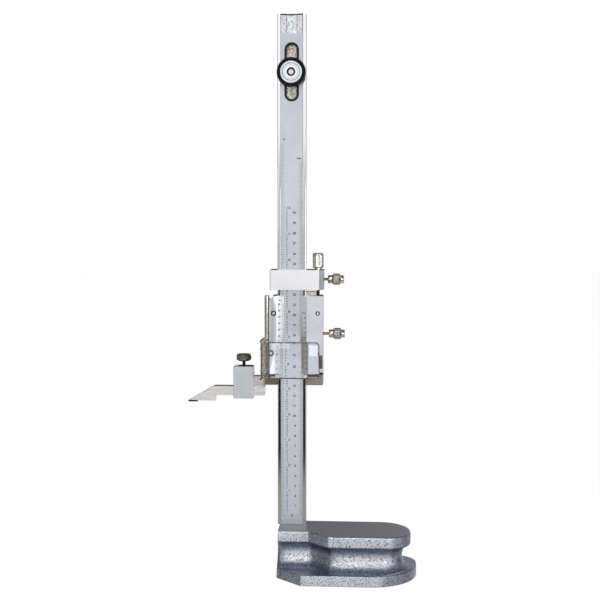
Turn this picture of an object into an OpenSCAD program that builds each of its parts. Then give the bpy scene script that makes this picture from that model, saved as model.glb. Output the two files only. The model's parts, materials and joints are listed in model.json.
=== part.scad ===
// Vernier height gauge, 300 mm / 12 in, on a cast base.
// X runs along the base, to the right of the graduated face. Y runs to the back, Z up.
// The origin is on the underside of the base, below the middle of the column.

/* [Base] */
// Height of the base
base_height = 47; // [40:0.5:60]
// Height of the flange round the foot of the base
flange_height = 10.5; // [8:0.5:14]
// Height of the slab at the top of the base
slab_height = 12; // [9:0.5:15]
// From the column's axis to the right end of the slab
slab_right = 117; // [100:1:140]
// From the column's axis to the left end at the top
base_left = 12; // [9:0.1:13]
// How far the left end leans out down to the foot
end_draft = 1.4; // [1:0.1:4]
// From the column's axis to the front of the slab
slab_front = 49.5; // [42:0.5:60]
// From the column's axis to the front of the narrow neck
neck_front = 30.5; // [26:0.5:36]
// From the column's axis to where the neck starts to widen
neck_right = 18.3; // [16:0.1:26]
// From the column's axis to the back of the slab
slab_back = 10.4; // [9:0.1:16]
// How far the flange stands out past the slab
flange_reach = 6; // [4:0.5:9]
// How far the flange stands out past the slab at the back
flange_back_reach = 11.5; // [6:0.5:14]
// Size of the corner cut off the flange at the left
flange_chamfer = 24.6; // [15:0.1:28]
// Radius of the front right corner of the slab
front_corner_radius = 24; // [18:0.5:28]
// Radius of the front right corner of the flange
flange_corner_radius = 46; // [38:0.5:50]
// Radius of the back right corner of the slab
back_corner_radius = 31; // [20:0.5:34]
// Radius of the back right corner of the flange
flange_back_radius = 23; // [16:0.5:26]
// Depth of the finger groove, in from the slab's edge
finger_groove_depth = 8.2; // [5:0.1:10]
// Share of that depth that the groove keeps along the back
back_groove_share = 0.4; // [0:0.05:0.6]
// Rounding of the top edge of the base
base_edge_round = 2; // [0.6:0.1:3]
// Depth of the relief in the underside
relief_depth = 1.5; // [0.5:0.1:3]
// Width of the ground land round the relief
land_width = 14; // [10:0.5:18]

/* [Column] */
// Width of the column
column_width = 28; // [24:0.5:32]
// Thickness of the column
column_thickness = 12; // [10:0.5:16]
// How far the column stands above the scale strip
column_headroom = 19; // [18.5:0.5:40]
// Width of each lip beside the scale
lip_width = 3.1; // [2.5:0.1:4]
// Width of the deep slot behind the scale
keyway_width = 10.2; // [10:0.1:12]
// Depth of that slot behind the scale's seat
keyway_depth = 2.2; // [1:0.1:3]
// Depth of the column's tenon in the base
tenon_depth = 12; // [8:0.5:16]
// Diameter of the two screws that hold the column
column_screw_diameter = 4; // [3:0.1:5]

/* [Main scale] */
// Length of the scale strip
scale_length = 481.2; // [400:0.1:500]
// Thickness of the scale strip
scale_thickness = 1.4; // [1:0.1:2]
// Height of the zero line above the base
zero_line_height = 9; // [5:0.5:15]
// From the top of the strip down to the lock
lock_below_top = 37.5; // [34:0.1:60]
// Length of the slot for the lock
slot_length = 56.7; // [40:0.1:64]
// Width of the slot for the lock
slot_width = 14.1; // [13:0.1:16]
// Width of the slot's lining
liner_width = 2.25; // [1.5:0.05:2.4]

/* [Zero lock] */
// Diameter of the knurled ring
lock_ring_diameter = 28.6; // [24:0.1:32]
// Thickness of the knurled ring
lock_ring_thickness = 7.8; // [6:0.1:10]
// Diameter of the steel disc in the ring
lock_cap_diameter = 21.3; // [18:0.1:23]
// How far the disc stands in front of the ring
lock_cap_proud = 1; // [0.4:0.1:2]
// Diameter of the stud
lock_stud_diameter = 5; // [4:0.1:6]

/* [Slider] */
// Height of the vernier zero above the scale's zero line
reading = 148.4; // [140:0.1:200]
// From the vernier zero down to the underside of the jaw
jaw_below_zero = 17.4; // [16:0.1:24]
// Height of the slider's vernier part
slider_height = 75.1; // [70:0.1:90]
// Height of the jaw below the vernier part
jaw_step = 12.8; // [12:0.1:18]
// From the column's axis to the slider's left side
slider_left = 21.3; // [20.5:0.1:21.8]
// From the column's axis to the slider's right side
slider_right = 30.5; // [30:0.1:36]
// From the column's middle plane to the slider's front
slider_front = 8.6; // [8:0.1:10]
// From the column's middle plane to the slider's back
slider_back = 11.5; // [10:0.1:16]
// Running clearance of both carriages on the column
slide_clearance = 0.1; // [0.05:0.01:0.2]
// Thickness of the gib
gib_thickness = 3.1; // [2:0.1:4]
// Size of the corner cut off the slider's top left
slider_chamfer = 2.6; // [1:0.1:4]

/* [Jaw] */
// From the column's axis to the left end of the jaw arm
jaw_reach = 54.5; // [48:0.5:60]
// Height of the jaw arm
jaw_height = 8.4; // [8:0.1:12]
// Height of the narrow rib that the scriber seats on
seat_rib_height = 1.6; // [1:0.1:2.5]
// Thickness of the jaw arm
jaw_thickness = 10; // [8:0.1:11]

/* [Vernier plates] */
// How far the vernier plates stand in front of the slider
vernier_thickness = 1.9; // [1.5:0.1:3]
// From the slider's left side to the inch vernier's left side
inch_vernier_inset = 1.1; // [0.5:0.1:2]
// From the column's axis to the inch vernier's edge
inch_vernier_edge = 7.5; // [7:0.1:9.5]
// From the column's axis to the millimetre vernier's edge
mm_vernier_edge = 8.6; // [7.5:0.1:9.5]
// Width of the sloping edge of the inch vernier
inch_bevel_width = 6.6; // [5:0.1:8]
// Width of the sloping edge of the millimetre vernier
mm_bevel_width = 6.1; // [5:0.1:8]
// Gap between a vernier's edge and the scale
vernier_gap = 0.2; // [0.1:0.05:0.4]
// Diameter of the vernier screws' heads
vernier_screw_head = 4.6; // [4:0.1:5]

/* [Fine adjustment] */
// Height of the clamp block
clamp_height = 19.5; // [16:0.1:24]
// Gap between the slider and the clamp block
clamp_gap = 5.9; // [5.5:0.1:12]
// From the column's axis to the clamp block's left side
clamp_left = 21.1; // [19:0.1:24]
// From the column's axis to the end of the clamp block's raised face
clamp_face_right = 26.9; // [24:0.1:29]
// From the column's axis to the clamp block's right side
clamp_right = 31.1; // [30:0.1:36]
// From the column's middle plane to the clamp block's front
clamp_front = 12.6; // [11:0.1:15]
// How far the step at the right lies behind the front
clamp_step = 3.5; // [1:0.1:5]
// From the column's axis to the fine screw
fine_screw_x = 25.7; // [24:0.1:26]
// From the column's middle plane forward to the fine screw
fine_screw_y = 5; // [4.5:0.1:6]
// Diameter of the fine screw
fine_screw_diameter = 3.6; // [3:0.1:4]
// Diameter of the fine knob
fine_knob_diameter = 11; // [9:0.1:11.4]
// Height of the fine knob
fine_knob_height = 14.6; // [10:0.1:18]

/* [Thumb screws] */
// Diameter of the screws' shanks
thumb_shank_diameter = 3; // [2.5:0.1:4]
// Diameter of the knurled heads
thumb_head_diameter = 11.4; // [10:0.1:13]
// Diameter of the collars beside the knurling
thumb_collar_diameter = 8.2; // [6:0.1:9]
// Length of the whole head
thumb_head_length = 15.6; // [12:0.1:18]
// Free length of the clamp block's shank
upper_shank_free = 4.1; // [2:0.1:6]
// Free length of the slider's shank
lower_shank_free = 5.7; // [2:0.1:8]
// Height of the slider's lock screw above the jaw's underside
lock_screw_height = 50.3; // [45:0.1:56]

/* [Magnifier] */
// Diameter of the rod
rod_diameter = 4.8; // [4:0.1:5]
// From the column's axis to the rod's axis
rod_x = 24.6; // [24.2:0.1:26.4]
// From the column's middle plane forward to the rod's axis
rod_y = 3.6; // [3:0.1:5]
// Height of the clip on the rod
clip_height = 37.4; // [36:0.1:40]
// From the column's middle plane to the front of the lens frame
lens_front = 37; // [28:0.5:44]
// Width of the lens frame
lens_frame_width = 55.7; // [48:0.1:60]
// Height of the lens frame
lens_frame_height = 35.4; // [28:0.1:36]
// Depth of the lens frame
lens_frame_depth = 6; // [5.6:0.1:9]
// From the frame's left side to the lens
lens_inset = 7.4; // [2:0.1:10]
// Thickness of the bent sheet and of the rim
sheet_thickness = 0.9; // [0.6:0.1:1.4]
// Outer corner radius of the lens frame
lens_corner_radius = 4; // [3:0.1:8]
// Radius of the lens's curved face
lens_surface_radius = 104; // [100:1:160]

/* [Scriber] */
// Length of the scriber, nose included
scriber_length = 76.5; // [60:0.5:90]
// Height of the scriber's bar
scriber_height = 9; // [7:0.1:10]
// Thickness of the scriber
scriber_thickness = 9.2; // [7:0.1:9.6]
// From the column's axis to the scriber's right end
scriber_right = 26.5; // [25:0.1:30]
// Length of the scriber's sloping nose
nose_length = 26.2; // [20:0.1:32]
// How far the nose's foot reaches back past the slope
nose_heel = 1.1; // [0.5:0.1:4]
// How far the nose reaches below the bar
nose_drop = 7; // [4:0.1:9]
// Length of the hard tip
tip_length = 9.4; // [6:0.1:12]
// Height of the hard tip
tip_height = 1.6; // [1.5:0.1:2]
// How far the hard tip stands below the nose
tip_proud = 1.3; // [0.2:0.1:1.4]
// Width of the nose at its point
point_width = 4; // [2:0.1:6]

/* [Scriber clamp] */
// Width of the clamp box along the jaw
box_width = 19.4; // [16:0.1:24]
// Height of the clamp box
box_height = 31.6; // [29:0.1:36]
// Depth of the clamp box, front to back
box_depth = 16; // [15:0.1:22]
// From the column's axis to the clamp box's middle
box_x = 47.6; // [43:0.1:52]
// Diameter of the clamp's knob
box_knob_diameter = 14.7; // [12:0.1:17]
// Height of the clamp's knob
box_knob_height = 6.7; // [5:0.1:10]
// Free length of the clamp screw below its knob
box_shank_free = 5; // [3:0.1:8]
// Diameter of the clamp screw
box_screw_diameter = 3.4; // [3:0.1:5]

/* [Hidden] */
$fn = 48;

// Clearances and overruns
overrun = 1;
running_gap = 0.05;
fixed_gap = 0.05;
seat_gap = 0.1;
curve_steps = 7;
corner_steps = 12;
edge_steps = 4;
tooth_step = 0.1;
edge_chamfer = 0.5;
small_chamfer = 0.3;
lens_fn = 240;

// Base, worked out
slab_bottom = base_height - slab_height;
groove_middle_share = 0.55;
groove_middle = flange_height + (slab_bottom - flange_height) * groove_middle_share;
flange_lip = 1.2;
flange_round = base_edge_round / 2;
groove_foot = flange_reach - flange_lip;
foot_sink = 0.5;
neck_corner_radius = 4;
base_foot_left = base_left + end_draft;
slab_outline = [[-base_foot_left, slab_back], [-base_foot_left, -neck_front], [neck_right, -neck_front],
                [neck_right + slab_front - neck_front, -slab_front], [slab_right, -slab_front],
                [slab_right, slab_back]];
slab_radii = [0, 0, neck_corner_radius, neck_corner_radius, front_corner_radius, back_corner_radius];
slab_moves = [back_groove_share, 0, 1, 1, 1, 1];
flange_back = slab_back + flange_back_reach;
flange_front = slab_front + flange_reach;
flange_right = slab_right + flange_reach;
flange_outline = [[-base_foot_left, flange_back], [-base_foot_left, -flange_front + flange_chamfer],
                  [-base_foot_left + flange_chamfer, -flange_front], [flange_right, -flange_front],
                  [flange_right, flange_back]];
flange_radii = [0, small_chamfer, neck_corner_radius, flange_corner_radius, flange_back_radius];
flange_moves = [1, 0, 1, 1, 1];
relief_left = 16;
relief_radius = 8;
relief_right = flange_right - land_width;
relief_front = flange_front - land_width;
relief_back = flange_back - land_width;
relief_outline = [[relief_left, relief_back], [relief_left, -relief_front], [relief_right, -relief_front],
                  [relief_right, relief_back]];
relief_corner_share = 0.6;
relief_radii = [relief_radius, relief_radius, flange_corner_radius * relief_corner_share, relief_radius];

// Column, worked out
column_height = seat_gap + scale_length + column_headroom;
half_width = column_width / 2;
half_thickness = column_thickness / 2;
seat_width = column_width - 2 * lip_width;
scale_seat = half_thickness - scale_thickness - seat_gap;
keyway_floor = scale_seat - keyway_depth;
tenon_width = 20;
tenon_thickness = 8;
column_screw_spread = 6.5;
screw_head_share = 1.75;
screw_head_diameter = column_screw_diameter * screw_head_share;
screw_bore_diameter = screw_head_diameter + 2 * seat_gap;
screw_web = 15;
screw_seat_z = base_height - tenon_depth - screw_web;
screw_head_z = screw_seat_z - column_screw_diameter;
column_screw_grip = 9;
hex_share = 0.5;

// Main scale and its lock, worked out
scale_bottom = base_height + seat_gap;
scale_face = half_thickness;
scale_width = seat_width - 4 * seat_gap;
zero_z = base_height + zero_line_height;
lock_z = scale_bottom + scale_length - lock_below_top;
liner_recess = 0.4;
slot_z = lock_z + 2 * liner_recess;
lock_bush_diameter = slot_width - 2 * liner_width - 4 * seat_gap;
washer_thickness = 1.2;
lock_wall = 0.7;
washer_diameter = lock_cap_diameter - 2 * lock_wall;
washer_front = scale_face + seat_gap + washer_thickness;
ring_back = washer_front + seat_gap;
ring_front = ring_back + lock_ring_thickness;
cap_front = ring_front + lock_cap_proud;
cap_thickness = 4.6;
cap_back = cap_front - cap_thickness;
hub_diameter = 8.4;
hub_depth = 2;
stud_depth = 4;
stud_front = cap_front - hub_depth + liner_recess;
ring_teeth = 64;
ring_tooth_depth = 0.45;
cap_groove_diameter = 16.4;
cap_groove_width = 0.5;
cap_groove_depth = 0.3;

// Slider, worked out
jaw_bottom = zero_z + reading - jaw_below_zero;
jaw_top = jaw_bottom + jaw_height;
vernier_bottom = jaw_bottom + jaw_step;
slider_top = vernier_bottom + slider_height;
opening_side = half_width + slide_clearance;
opening_face = half_thickness + slide_clearance;
gib_side = opening_side + gib_thickness;
gib_slot_side = gib_side + seat_gap;
window_side = half_width - edge_chamfer - small_chamfer;
gib_bottom = jaw_bottom + seat_gap;
gib_half_width = half_thickness - slide_clearance;
gib_head_height = 4;
gib_head_end = fine_screw_x - fine_screw_diameter / 2 - small_chamfer;
gib_screw_diameter = 3;
gib_screw_shares = [0.34, 0.84];
gib_screw_places = [for (share = gib_screw_shares) share * (slider_top - jaw_bottom)];
gib_screw_recess = 0.6;
jaw_arm_front = slider_front;
seat_rib_inset = 2;
lug_height = 4.9;
lug_depth = 3.4;
lug_reach = rod_x + rod_diameter / 2 - small_chamfer;

// Vernier plates, worked out
vernier_front = slider_front + vernier_thickness;
vernier_back = half_thickness + vernier_gap;
vernier_tip = vernier_back + small_chamfer + vernier_gap;
vernier_top = slider_top - edge_chamfer;
inch_screw_inset = 3.7;
mm_screw_inset = 4.9;
inch_screw_x = -slider_left + inch_screw_inset;
mm_screw_x = slider_right - mm_screw_inset;
vernier_screw_low = 18.1;
vernier_screw_inset = 17.1;
vernier_screw_high = slider_height - vernier_screw_inset;
vernier_screw_diameter = 2.4;
vernier_screw_length = 5.2;
vernier_head_height = 1.1;
slot_cut = 0.6;

// Fine adjustment, worked out
clamp_bottom = slider_top + clamp_gap;
clamp_top = clamp_bottom + clamp_height;
clamp_back = slider_back;
shoe_diameter = 7;
shoe_thickness = 1.9;
shoe_pocket = shoe_thickness + seat_gap;
clamp_screw_z = clamp_bottom + clamp_height / 2 + small_chamfer;
fine_neck_height = 1.8;
fine_neck_diameter = 7;
fine_knob_bottom = clamp_top + fine_neck_height;
fine_knob_top = fine_knob_bottom + fine_knob_height;
fine_screw_engaged = 13.4;
fine_screw_bottom = slider_top - fine_screw_engaged;
fine_screw_spare = 1.5;
fine_collar_diameter = 6.4;
fine_collar_height = 2.2;
fine_knob_teeth = 40;
fine_tooth_depth = 0.3;

// Thumb screws, worked out
inner_collar_length = 4.2;
outer_collar_length = 3.1;
thumb_teeth = 36;
thumb_tooth_depth = 0.35;
knob_chamfer = 1.3;
lock_screw_z = jaw_bottom + lock_screw_height;

// Magnifier, worked out
rod_seat_depth = 6;
rod_bottom = jaw_top - rod_seat_depth;
clip_bottom = jaw_top + small_chamfer;
clip_wall = 0.9;
clip_cheek = 1.7;
clip_mouth = 0.7;
clip_left = rod_x + rod_diameter / 2 + clip_wall;
clip_right = rod_x - rod_diameter / 2 + clip_mouth;
clip_front = rod_y + rod_diameter / 2 + clip_cheek;
clip_back = rod_y - rod_diameter / 2 - clip_cheek;
plate_inner = clip_left - sheet_thickness;
lens_frame_lift = 1.3;
lens_frame_bottom = clip_bottom + lens_frame_lift;
lens_frame_left = -plate_inner + fixed_gap;
lens_frame_x = lens_frame_left + lens_frame_width / 2;
lens_centre_z = lens_frame_bottom + lens_frame_height / 2;
lens_rim_radius = lens_corner_radius - sheet_thickness;
lens_width = lens_frame_width - lens_inset - sheet_thickness - fixed_gap;
lens_centre_x = lens_frame_left + lens_inset + lens_width / 2;
rivet_diameter = 1.6;
rivet_head = 0.5;
rivet_head_diameter = 2.8;
rivet_inset = 7;
flare_size = 1;
tab_height = 13;
tab_rise = 10;
tab_width = 3.8;
lens_edge = 0.5;
lens_back = lens_front - lens_frame_depth + lens_edge;

// Scriber, worked out
scriber_top = jaw_bottom - seat_rib_height - seat_gap;
scriber_bottom = scriber_top - scriber_height;
scriber_front = jaw_arm_front - (jaw_thickness - scriber_thickness) / 2;
scriber_left = scriber_right + scriber_length;
nose_x = scriber_left - nose_length;
tip_bottom = scriber_bottom - nose_drop;
point_height = 1.1;

// Scriber clamp, worked out
window_gap = 0.2;
pad_height = 2;
pad_bottom = jaw_top + seat_gap;
pad_top = pad_bottom + pad_height;
box_window_bottom = scriber_bottom - window_gap;
box_window_top = pad_top + seat_gap;
box_sole = 2.5;
box_bottom = box_window_bottom - box_sole;
box_top = box_bottom + box_height;
box_middle_y = -jaw_arm_front + jaw_thickness / 2;
box_recess_depth = 1;
box_recess_width = 7;
box_knob_bottom = box_top + box_shank_free;
box_knob_teeth = 48;
box_tooth_depth = 0.4;

// Outline with rounded corners. Each edge is moved in by its own share of inset: moves holds the share
// of the edge that ends at each corner.
function edge_dir(a, b) = (b - a) / norm(b - a);
function left_of(d) = [-d[1], d[0]];
function moved_corner(p, n1, n2, d1, d2) =
    p + [d1 * n2[1] - d2 * n1[1], d2 * n1[0] - d1 * n2[0]] / (n1[0] * n2[1] - n1[1] * n2[0]);
function corner_arc(p, e1, e2, radius) =
    let (turn = atan2(e1[0] * e2[1] - e1[1] * e2[0], e1 * e2), side = sign(turn))
    radius <= 0 ? [p] :
    let (t = radius * tan(abs(turn) / 2), start = p - e1 * t, centre = start + left_of(e1) * radius * side,
         spoke = start - centre, a0 = atan2(spoke[1], spoke[0]))
    [for (i = [0 : corner_steps]) let (a = a0 + turn * i / corner_steps)
        centre + radius * [cos(a), sin(a)]];
function ring(outline, radii, moves, inset) =
    let (n = len(outline))
    [for (i = [0 : n - 1])
        let (before = outline[(i + n - 1) % n], here = outline[i], after = outline[(i + 1) % n],
             e1 = edge_dir(before, here), e2 = edge_dir(here, after),
             d1 = inset * moves[i], d2 = inset * moves[(i + 1) % n],
             p = moved_corner(here, left_of(e1), left_of(e2), d1, d2),
             convex = e1[0] * e2[1] - e1[1] * e2[0] > 0,
             radius = radii[i] <= 0 ? 0 : max(small_chamfer, radii[i] - (convex ? inset : -inset)))
        each corner_arc(p, e1, e2, radius)];

// A solid through a stack of rings, one for each level of [height, inset]
module ring_loft(outline, radii, moves, levels) {
    rings = [for (level = levels) ring(outline, radii, moves, level[1])];
    n = len(rings[0]);
    last = len(levels) - 1;
    points = [for (j = [0 : last]) for (p = rings[j]) [p[0], p[1], levels[j][0]]];
    sides = [for (j = [0 : last - 1]) for (i = [0 : n - 1]) for (half = [0, 1])
        let (a = j * n + i, b = j * n + (i + 1) % n)
        half == 0 ? [a, a + n, b + n] : [a, b + n, b]];
    foot = [for (i = [0 : n - 1]) i];
    head = [for (i = [0 : n - 1]) last * n + n - 1 - i];
    polyhedron(points = points, faces = concat(sides, [foot, head]));
}

// Straight-knurled drum along +Z with a sloping edge at each end
module knurled_drum(diameter, length, teeth, depth, chamfer) {
    r = diameter / 2;
    root = r - depth - tooth_step;
    tooth_points = [for (i = [0 : 2 * teeth - 1]) let (a = 180 * i / teeth, q = r - depth * (i % 2))
        [q * cos(a), q * sin(a)]];
    translate([0, 0, chamfer])
        linear_extrude(height = length - 2 * chamfer)
            polygon(tooth_points);
    rotate_extrude()
        polygon([[0, 0], [root - chamfer, 0], [root, chamfer], [root, length - chamfer],
                 [root - chamfer, length], [0, length]]);
}

module stadium(length, width) {
    square([width, length - width], center = true);
    for (end = [-1, 1])
        translate([0, end * (length - width) / 2])
            circle(d = width);
}

module rounded_rectangle(width, height, radius) {
    square([width - 2 * radius, height], center = true);
    square([width, height - 2 * radius], center = true);
    for (x = [-1, 1], y = [-1, 1])
        translate([x * (width / 2 - radius), y * (height / 2 - radius)])
            circle(r = radius);
}

// What stands in this module's XY plane is turned to face the front, with its depth along +Y
module facing_front(x, front, z) {
    translate([x, -front, z])
        rotate([-90, 0, 0])
            mirror([0, 1, 0])
                children();
}

// The same for what points to the right, with its depth along +X
module pointing_right(x, z) {
    translate([x, 0, z])
        rotate([0, 90, 0])
            children();
}

module countersunk_hole(x, z) {
    facing_front(x, vernier_front + overrun, z)
        cylinder(d = vernier_screw_diameter + 2 * fixed_gap, h = vernier_screw_length + 2 * overrun);
    facing_front(x, vernier_front + fixed_gap, z)
        cylinder(d1 = vernier_screw_head + 2 * fixed_gap, d2 = vernier_screw_diameter + 2 * fixed_gap,
                 h = vernier_head_height + fixed_gap);
}

module base_casting() {
    groove = [for (i = [0 : curve_steps])
                  let (a = 90 * i / curve_steps)
                  [groove_middle - (groove_middle - flange_height) * cos(a),
                   -groove_foot + (groove_foot + finger_groove_depth) * sin(a)]];
    undercut = [for (i = [1 : curve_steps])
                    let (a = 90 * i / curve_steps)
                    [groove_middle + (slab_bottom - groove_middle) * sin(a),
                     base_edge_round + (finger_groove_depth - base_edge_round) * cos(a)]];
    lower_edge = [for (i = [1 : edge_steps])
                      let (a = 90 * i / edge_steps)
                      [slab_bottom + base_edge_round - base_edge_round * cos(a),
                       base_edge_round - base_edge_round * sin(a)]];
    top_edge = [for (i = [0 : edge_steps])
                    let (a = 90 * i / edge_steps)
                    [base_height - base_edge_round + base_edge_round * sin(a),
                     base_edge_round - base_edge_round * cos(a)]];
    flange_edge = [for (i = [0 : edge_steps])
                       let (a = 90 * i / edge_steps)
                       [flange_height - flange_round + flange_round * sin(a),
                        flange_round - flange_round * cos(a)]];
    body_levels = concat([[flange_height - foot_sink, -groove_foot]], groove, undercut, lower_edge,
                         top_edge);
    flange_levels = concat([[0, edge_chamfer], [edge_chamfer, 0]], flange_edge);
    color([0.62, 0.65, 0.70])
        difference() {
            union() {
                ring_loft(flange_outline, flange_radii, flange_moves, flange_levels);
                intersection() {
                    ring_loft(slab_outline, slab_radii, slab_moves, body_levels);
                    union() {
                        linear_extrude(height = groove_middle)
                            polygon(ring(flange_outline, flange_radii, flange_moves, flange_lip));
                        translate([-slab_right, -slab_right, groove_middle])
                            cube([slab_right + slab_right + overrun, 2 * slab_right, slab_right]);
                    }
                }
            }
            base_end_cut();
            translate([0, 0, -overrun])
                linear_extrude(height = relief_depth + overrun)
                    polygon(ring(relief_outline, relief_radii, [0, 0, 0, 0], 0));
            translate([-tenon_width / 2 - fixed_gap, -tenon_thickness / 2 - fixed_gap,
                       base_height - tenon_depth - fixed_gap])
                cube([tenon_width + 2 * fixed_gap, tenon_thickness + 2 * fixed_gap, tenon_depth + overrun]);
            for (side = [-1, 1])
                translate([side * column_screw_spread, 0, -overrun]) {
                    cylinder(d = screw_bore_diameter, h = screw_seat_z + overrun);
                    cylinder(d = column_screw_diameter + 2 * seat_gap, h = base_height);
                }
        }
}

// The left end is cut on a plane that leans out towards the foot
module base_end_cut() {
    lean = atan(end_draft / base_height);
    translate([-base_left, 0, base_height])
        rotate([0, lean, 0])
            translate([-slab_right, -2 * flange_front, -2 * base_height])
                cube([slab_right, 4 * flange_front, 4 * base_height]);
}

module column_section() {
    c = edge_chamfer;
    w = half_width;
    t = half_thickness;
    polygon([[-w + c, t], [-w, t - c], [-w, -t + c], [-w + c, -t], [-seat_width / 2, -t],
             [-seat_width / 2, -scale_seat], [-keyway_width / 2, -scale_seat],
             [-keyway_width / 2, -keyway_floor], [keyway_width / 2, -keyway_floor],
             [keyway_width / 2, -scale_seat], [seat_width / 2, -scale_seat], [seat_width / 2, -t],
             [w - c, -t], [w, -t + c], [w, t - c], [w - c, t]]);
}

module column() {
    color([0.80, 0.81, 0.83])
        difference() {
            union() {
                translate([0, 0, base_height])
                    linear_extrude(height = column_height)
                        column_section();
                translate([-tenon_width / 2, -tenon_thickness / 2, base_height - tenon_depth])
                    cube([tenon_width, tenon_thickness, tenon_depth]);
            }
            facing_front(0, keyway_floor + overrun, lock_z)
                cylinder(d = lock_stud_diameter + 2 * fixed_gap, h = stud_depth + overrun + fixed_gap);
            for (side = [-1, 1])
                translate([side * column_screw_spread, 0, base_height - tenon_depth - overrun])
                    cylinder(d = column_screw_diameter + 2 * fixed_gap, h = column_screw_grip + 2 * overrun);
        }
}

module column_screws() {
    color([0.20, 0.20, 0.22])
        for (side = [-1, 1])
            translate([side * column_screw_spread, 0, screw_head_z])
                difference() {
                    union() {
                        cylinder(d = screw_head_diameter, h = column_screw_diameter);
                        cylinder(d = column_screw_diameter,
                                 h = base_height - tenon_depth + column_screw_grip - screw_head_z);
                    }
                    translate([0, 0, -overrun])
                        cylinder(d = screw_head_diameter * hex_share, h = column_screw_diameter / 2 + overrun,
                                 $fn = 6);
                }
}

module zero_lock_stud() {
    color([0.85, 0.85, 0.86])
        union() {
            facing_front(0, stud_front, lock_z)
                cylinder(d = lock_stud_diameter, h = stud_front - keyway_floor + stud_depth);
            facing_front(0, scale_face, lock_z)
                cylinder(d = lock_bush_diameter, h = scale_face - keyway_floor);
        }
}

module main_scale() {
    color([0.76, 0.77, 0.80])
        difference() {
            translate([-scale_width / 2, -scale_face, scale_bottom])
                cube([scale_width, scale_thickness, scale_length]);
            facing_front(0, scale_face + overrun, slot_z)
                linear_extrude(height = scale_thickness + 2 * overrun)
                    stadium(slot_length, slot_width);
        }
}

module scale_slot_liner() {
    color([0.06, 0.06, 0.06])
        facing_front(0, scale_face - liner_recess, slot_z)
            linear_extrude(height = scale_thickness - liner_recess)
                difference() {
                    stadium(slot_length - 2 * fixed_gap, slot_width - 2 * fixed_gap);
                    stadium(slot_length - 2 * liner_width, slot_width - 2 * liner_width);
                }
}

module zero_lock_washer() {
    color([0.70, 0.70, 0.72])
        facing_front(0, washer_front, lock_z)
            difference() {
                cylinder(d = washer_diameter, h = washer_thickness);
                translate([0, 0, -overrun])
                    cylinder(d = lock_stud_diameter + 2 * running_gap, h = washer_thickness + 2 * overrun);
            }
}

module zero_lock_knob() {
    color([0.07, 0.07, 0.07])
        facing_front(0, ring_front, lock_z)
            difference() {
                knurled_drum(lock_ring_diameter, lock_ring_thickness, ring_teeth, ring_tooth_depth,
                             edge_chamfer);
                translate([0, 0, -overrun])
                    cylinder(d = lock_cap_diameter + 2 * fixed_gap,
                             h = ring_front - cap_back + fixed_gap + overrun);
                translate([0, 0, -overrun])
                    cylinder(d = lock_stud_diameter + 2 * running_gap,
                             h = lock_ring_thickness + 2 * overrun);
            }
}

module zero_lock_cap() {
    color([0.85, 0.86, 0.87])
        facing_front(0, cap_front, lock_z)
            difference() {
                union() {
                    cylinder(d1 = lock_cap_diameter - 2 * edge_chamfer, d2 = lock_cap_diameter,
                             h = edge_chamfer);
                    translate([0, 0, edge_chamfer])
                        cylinder(d = lock_cap_diameter, h = cap_thickness - edge_chamfer);
                }
                translate([0, 0, -overrun])
                    cylinder(d = hub_diameter, h = hub_depth + overrun);
                translate([0, 0, -overrun])
                    cylinder(d = lock_stud_diameter + 2 * running_gap, h = cap_thickness + 2 * overrun);
                translate([0, 0, -overrun])
                    difference() {
                        cylinder(d = cap_groove_diameter + cap_groove_width,
                                 h = cap_groove_depth + overrun);
                        cylinder(d = cap_groove_diameter - cap_groove_width,
                                 h = cap_groove_depth + overrun);
                    }
            }
}

module clamp_section() {
    c = small_chamfer + small_chamfer;
    polygon([[-clamp_left + c, -clamp_front], [-clamp_left, -clamp_front + c], [-clamp_left, clamp_back - c],
             [-clamp_left + c, clamp_back], [clamp_right - c, clamp_back], [clamp_right, clamp_back - c],
             [clamp_right, -clamp_front + clamp_step], [clamp_face_right, -clamp_front + clamp_step],
             [clamp_face_right, -clamp_front]]);
}

module fine_clamp_block() {
    color([0.90, 0.90, 0.91])
        difference() {
            translate([0, 0, clamp_bottom])
                linear_extrude(height = clamp_height)
                    clamp_section();
            translate([-opening_side, -opening_face, clamp_bottom - overrun])
                cube([2 * opening_side, 2 * opening_face, clamp_height + 2 * overrun]);
            pointing_right(0, clamp_screw_z)
                cylinder(d = thumb_shank_diameter + 2 * running_gap, h = clamp_right + overrun);
            pointing_right(0, clamp_screw_z)
                cylinder(d = shoe_diameter + 2 * seat_gap, h = opening_side + shoe_pocket);
            translate([fine_screw_x, -fine_screw_y, clamp_bottom - overrun]) {
                cylinder(d = fine_screw_diameter + 2 * running_gap, h = clamp_height + 2 * overrun);
                cylinder(d = fine_collar_diameter + 2 * running_gap,
                         h = overrun + fine_collar_height + seat_gap);
            }
        }
}

module fine_clamp_shoe() {
    color([0.78, 0.65, 0.35])
        pointing_right(opening_side, clamp_screw_z)
            cylinder(d = shoe_diameter, h = shoe_thickness);
}

// Thumb screw along +X, from its point to the end of its head
module thumb_screw(point_x, head_x, z) {
    drum_length = thumb_head_length - inner_collar_length - outer_collar_length;
    pointing_right(point_x, z)
        union() {
            cylinder(d = thumb_shank_diameter, h = head_x - point_x + inner_collar_length);
            translate([0, 0, head_x - point_x]) {
                cylinder(d = thumb_collar_diameter, h = thumb_head_length - small_chamfer);
                translate([0, 0, thumb_head_length - small_chamfer])
                    cylinder(d1 = thumb_collar_diameter,
                             d2 = thumb_collar_diameter - 2 * small_chamfer, h = small_chamfer);
                translate([0, 0, inner_collar_length])
                    knurled_drum(thumb_head_diameter, drum_length, thumb_teeth, thumb_tooth_depth,
                                 knob_chamfer);
            }
        }
}

module fine_clamp_screw() {
    color([0.66, 0.66, 0.66])
        thumb_screw(opening_side + shoe_thickness + running_gap, clamp_right + upper_shank_free,
                    clamp_screw_z);
}

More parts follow.
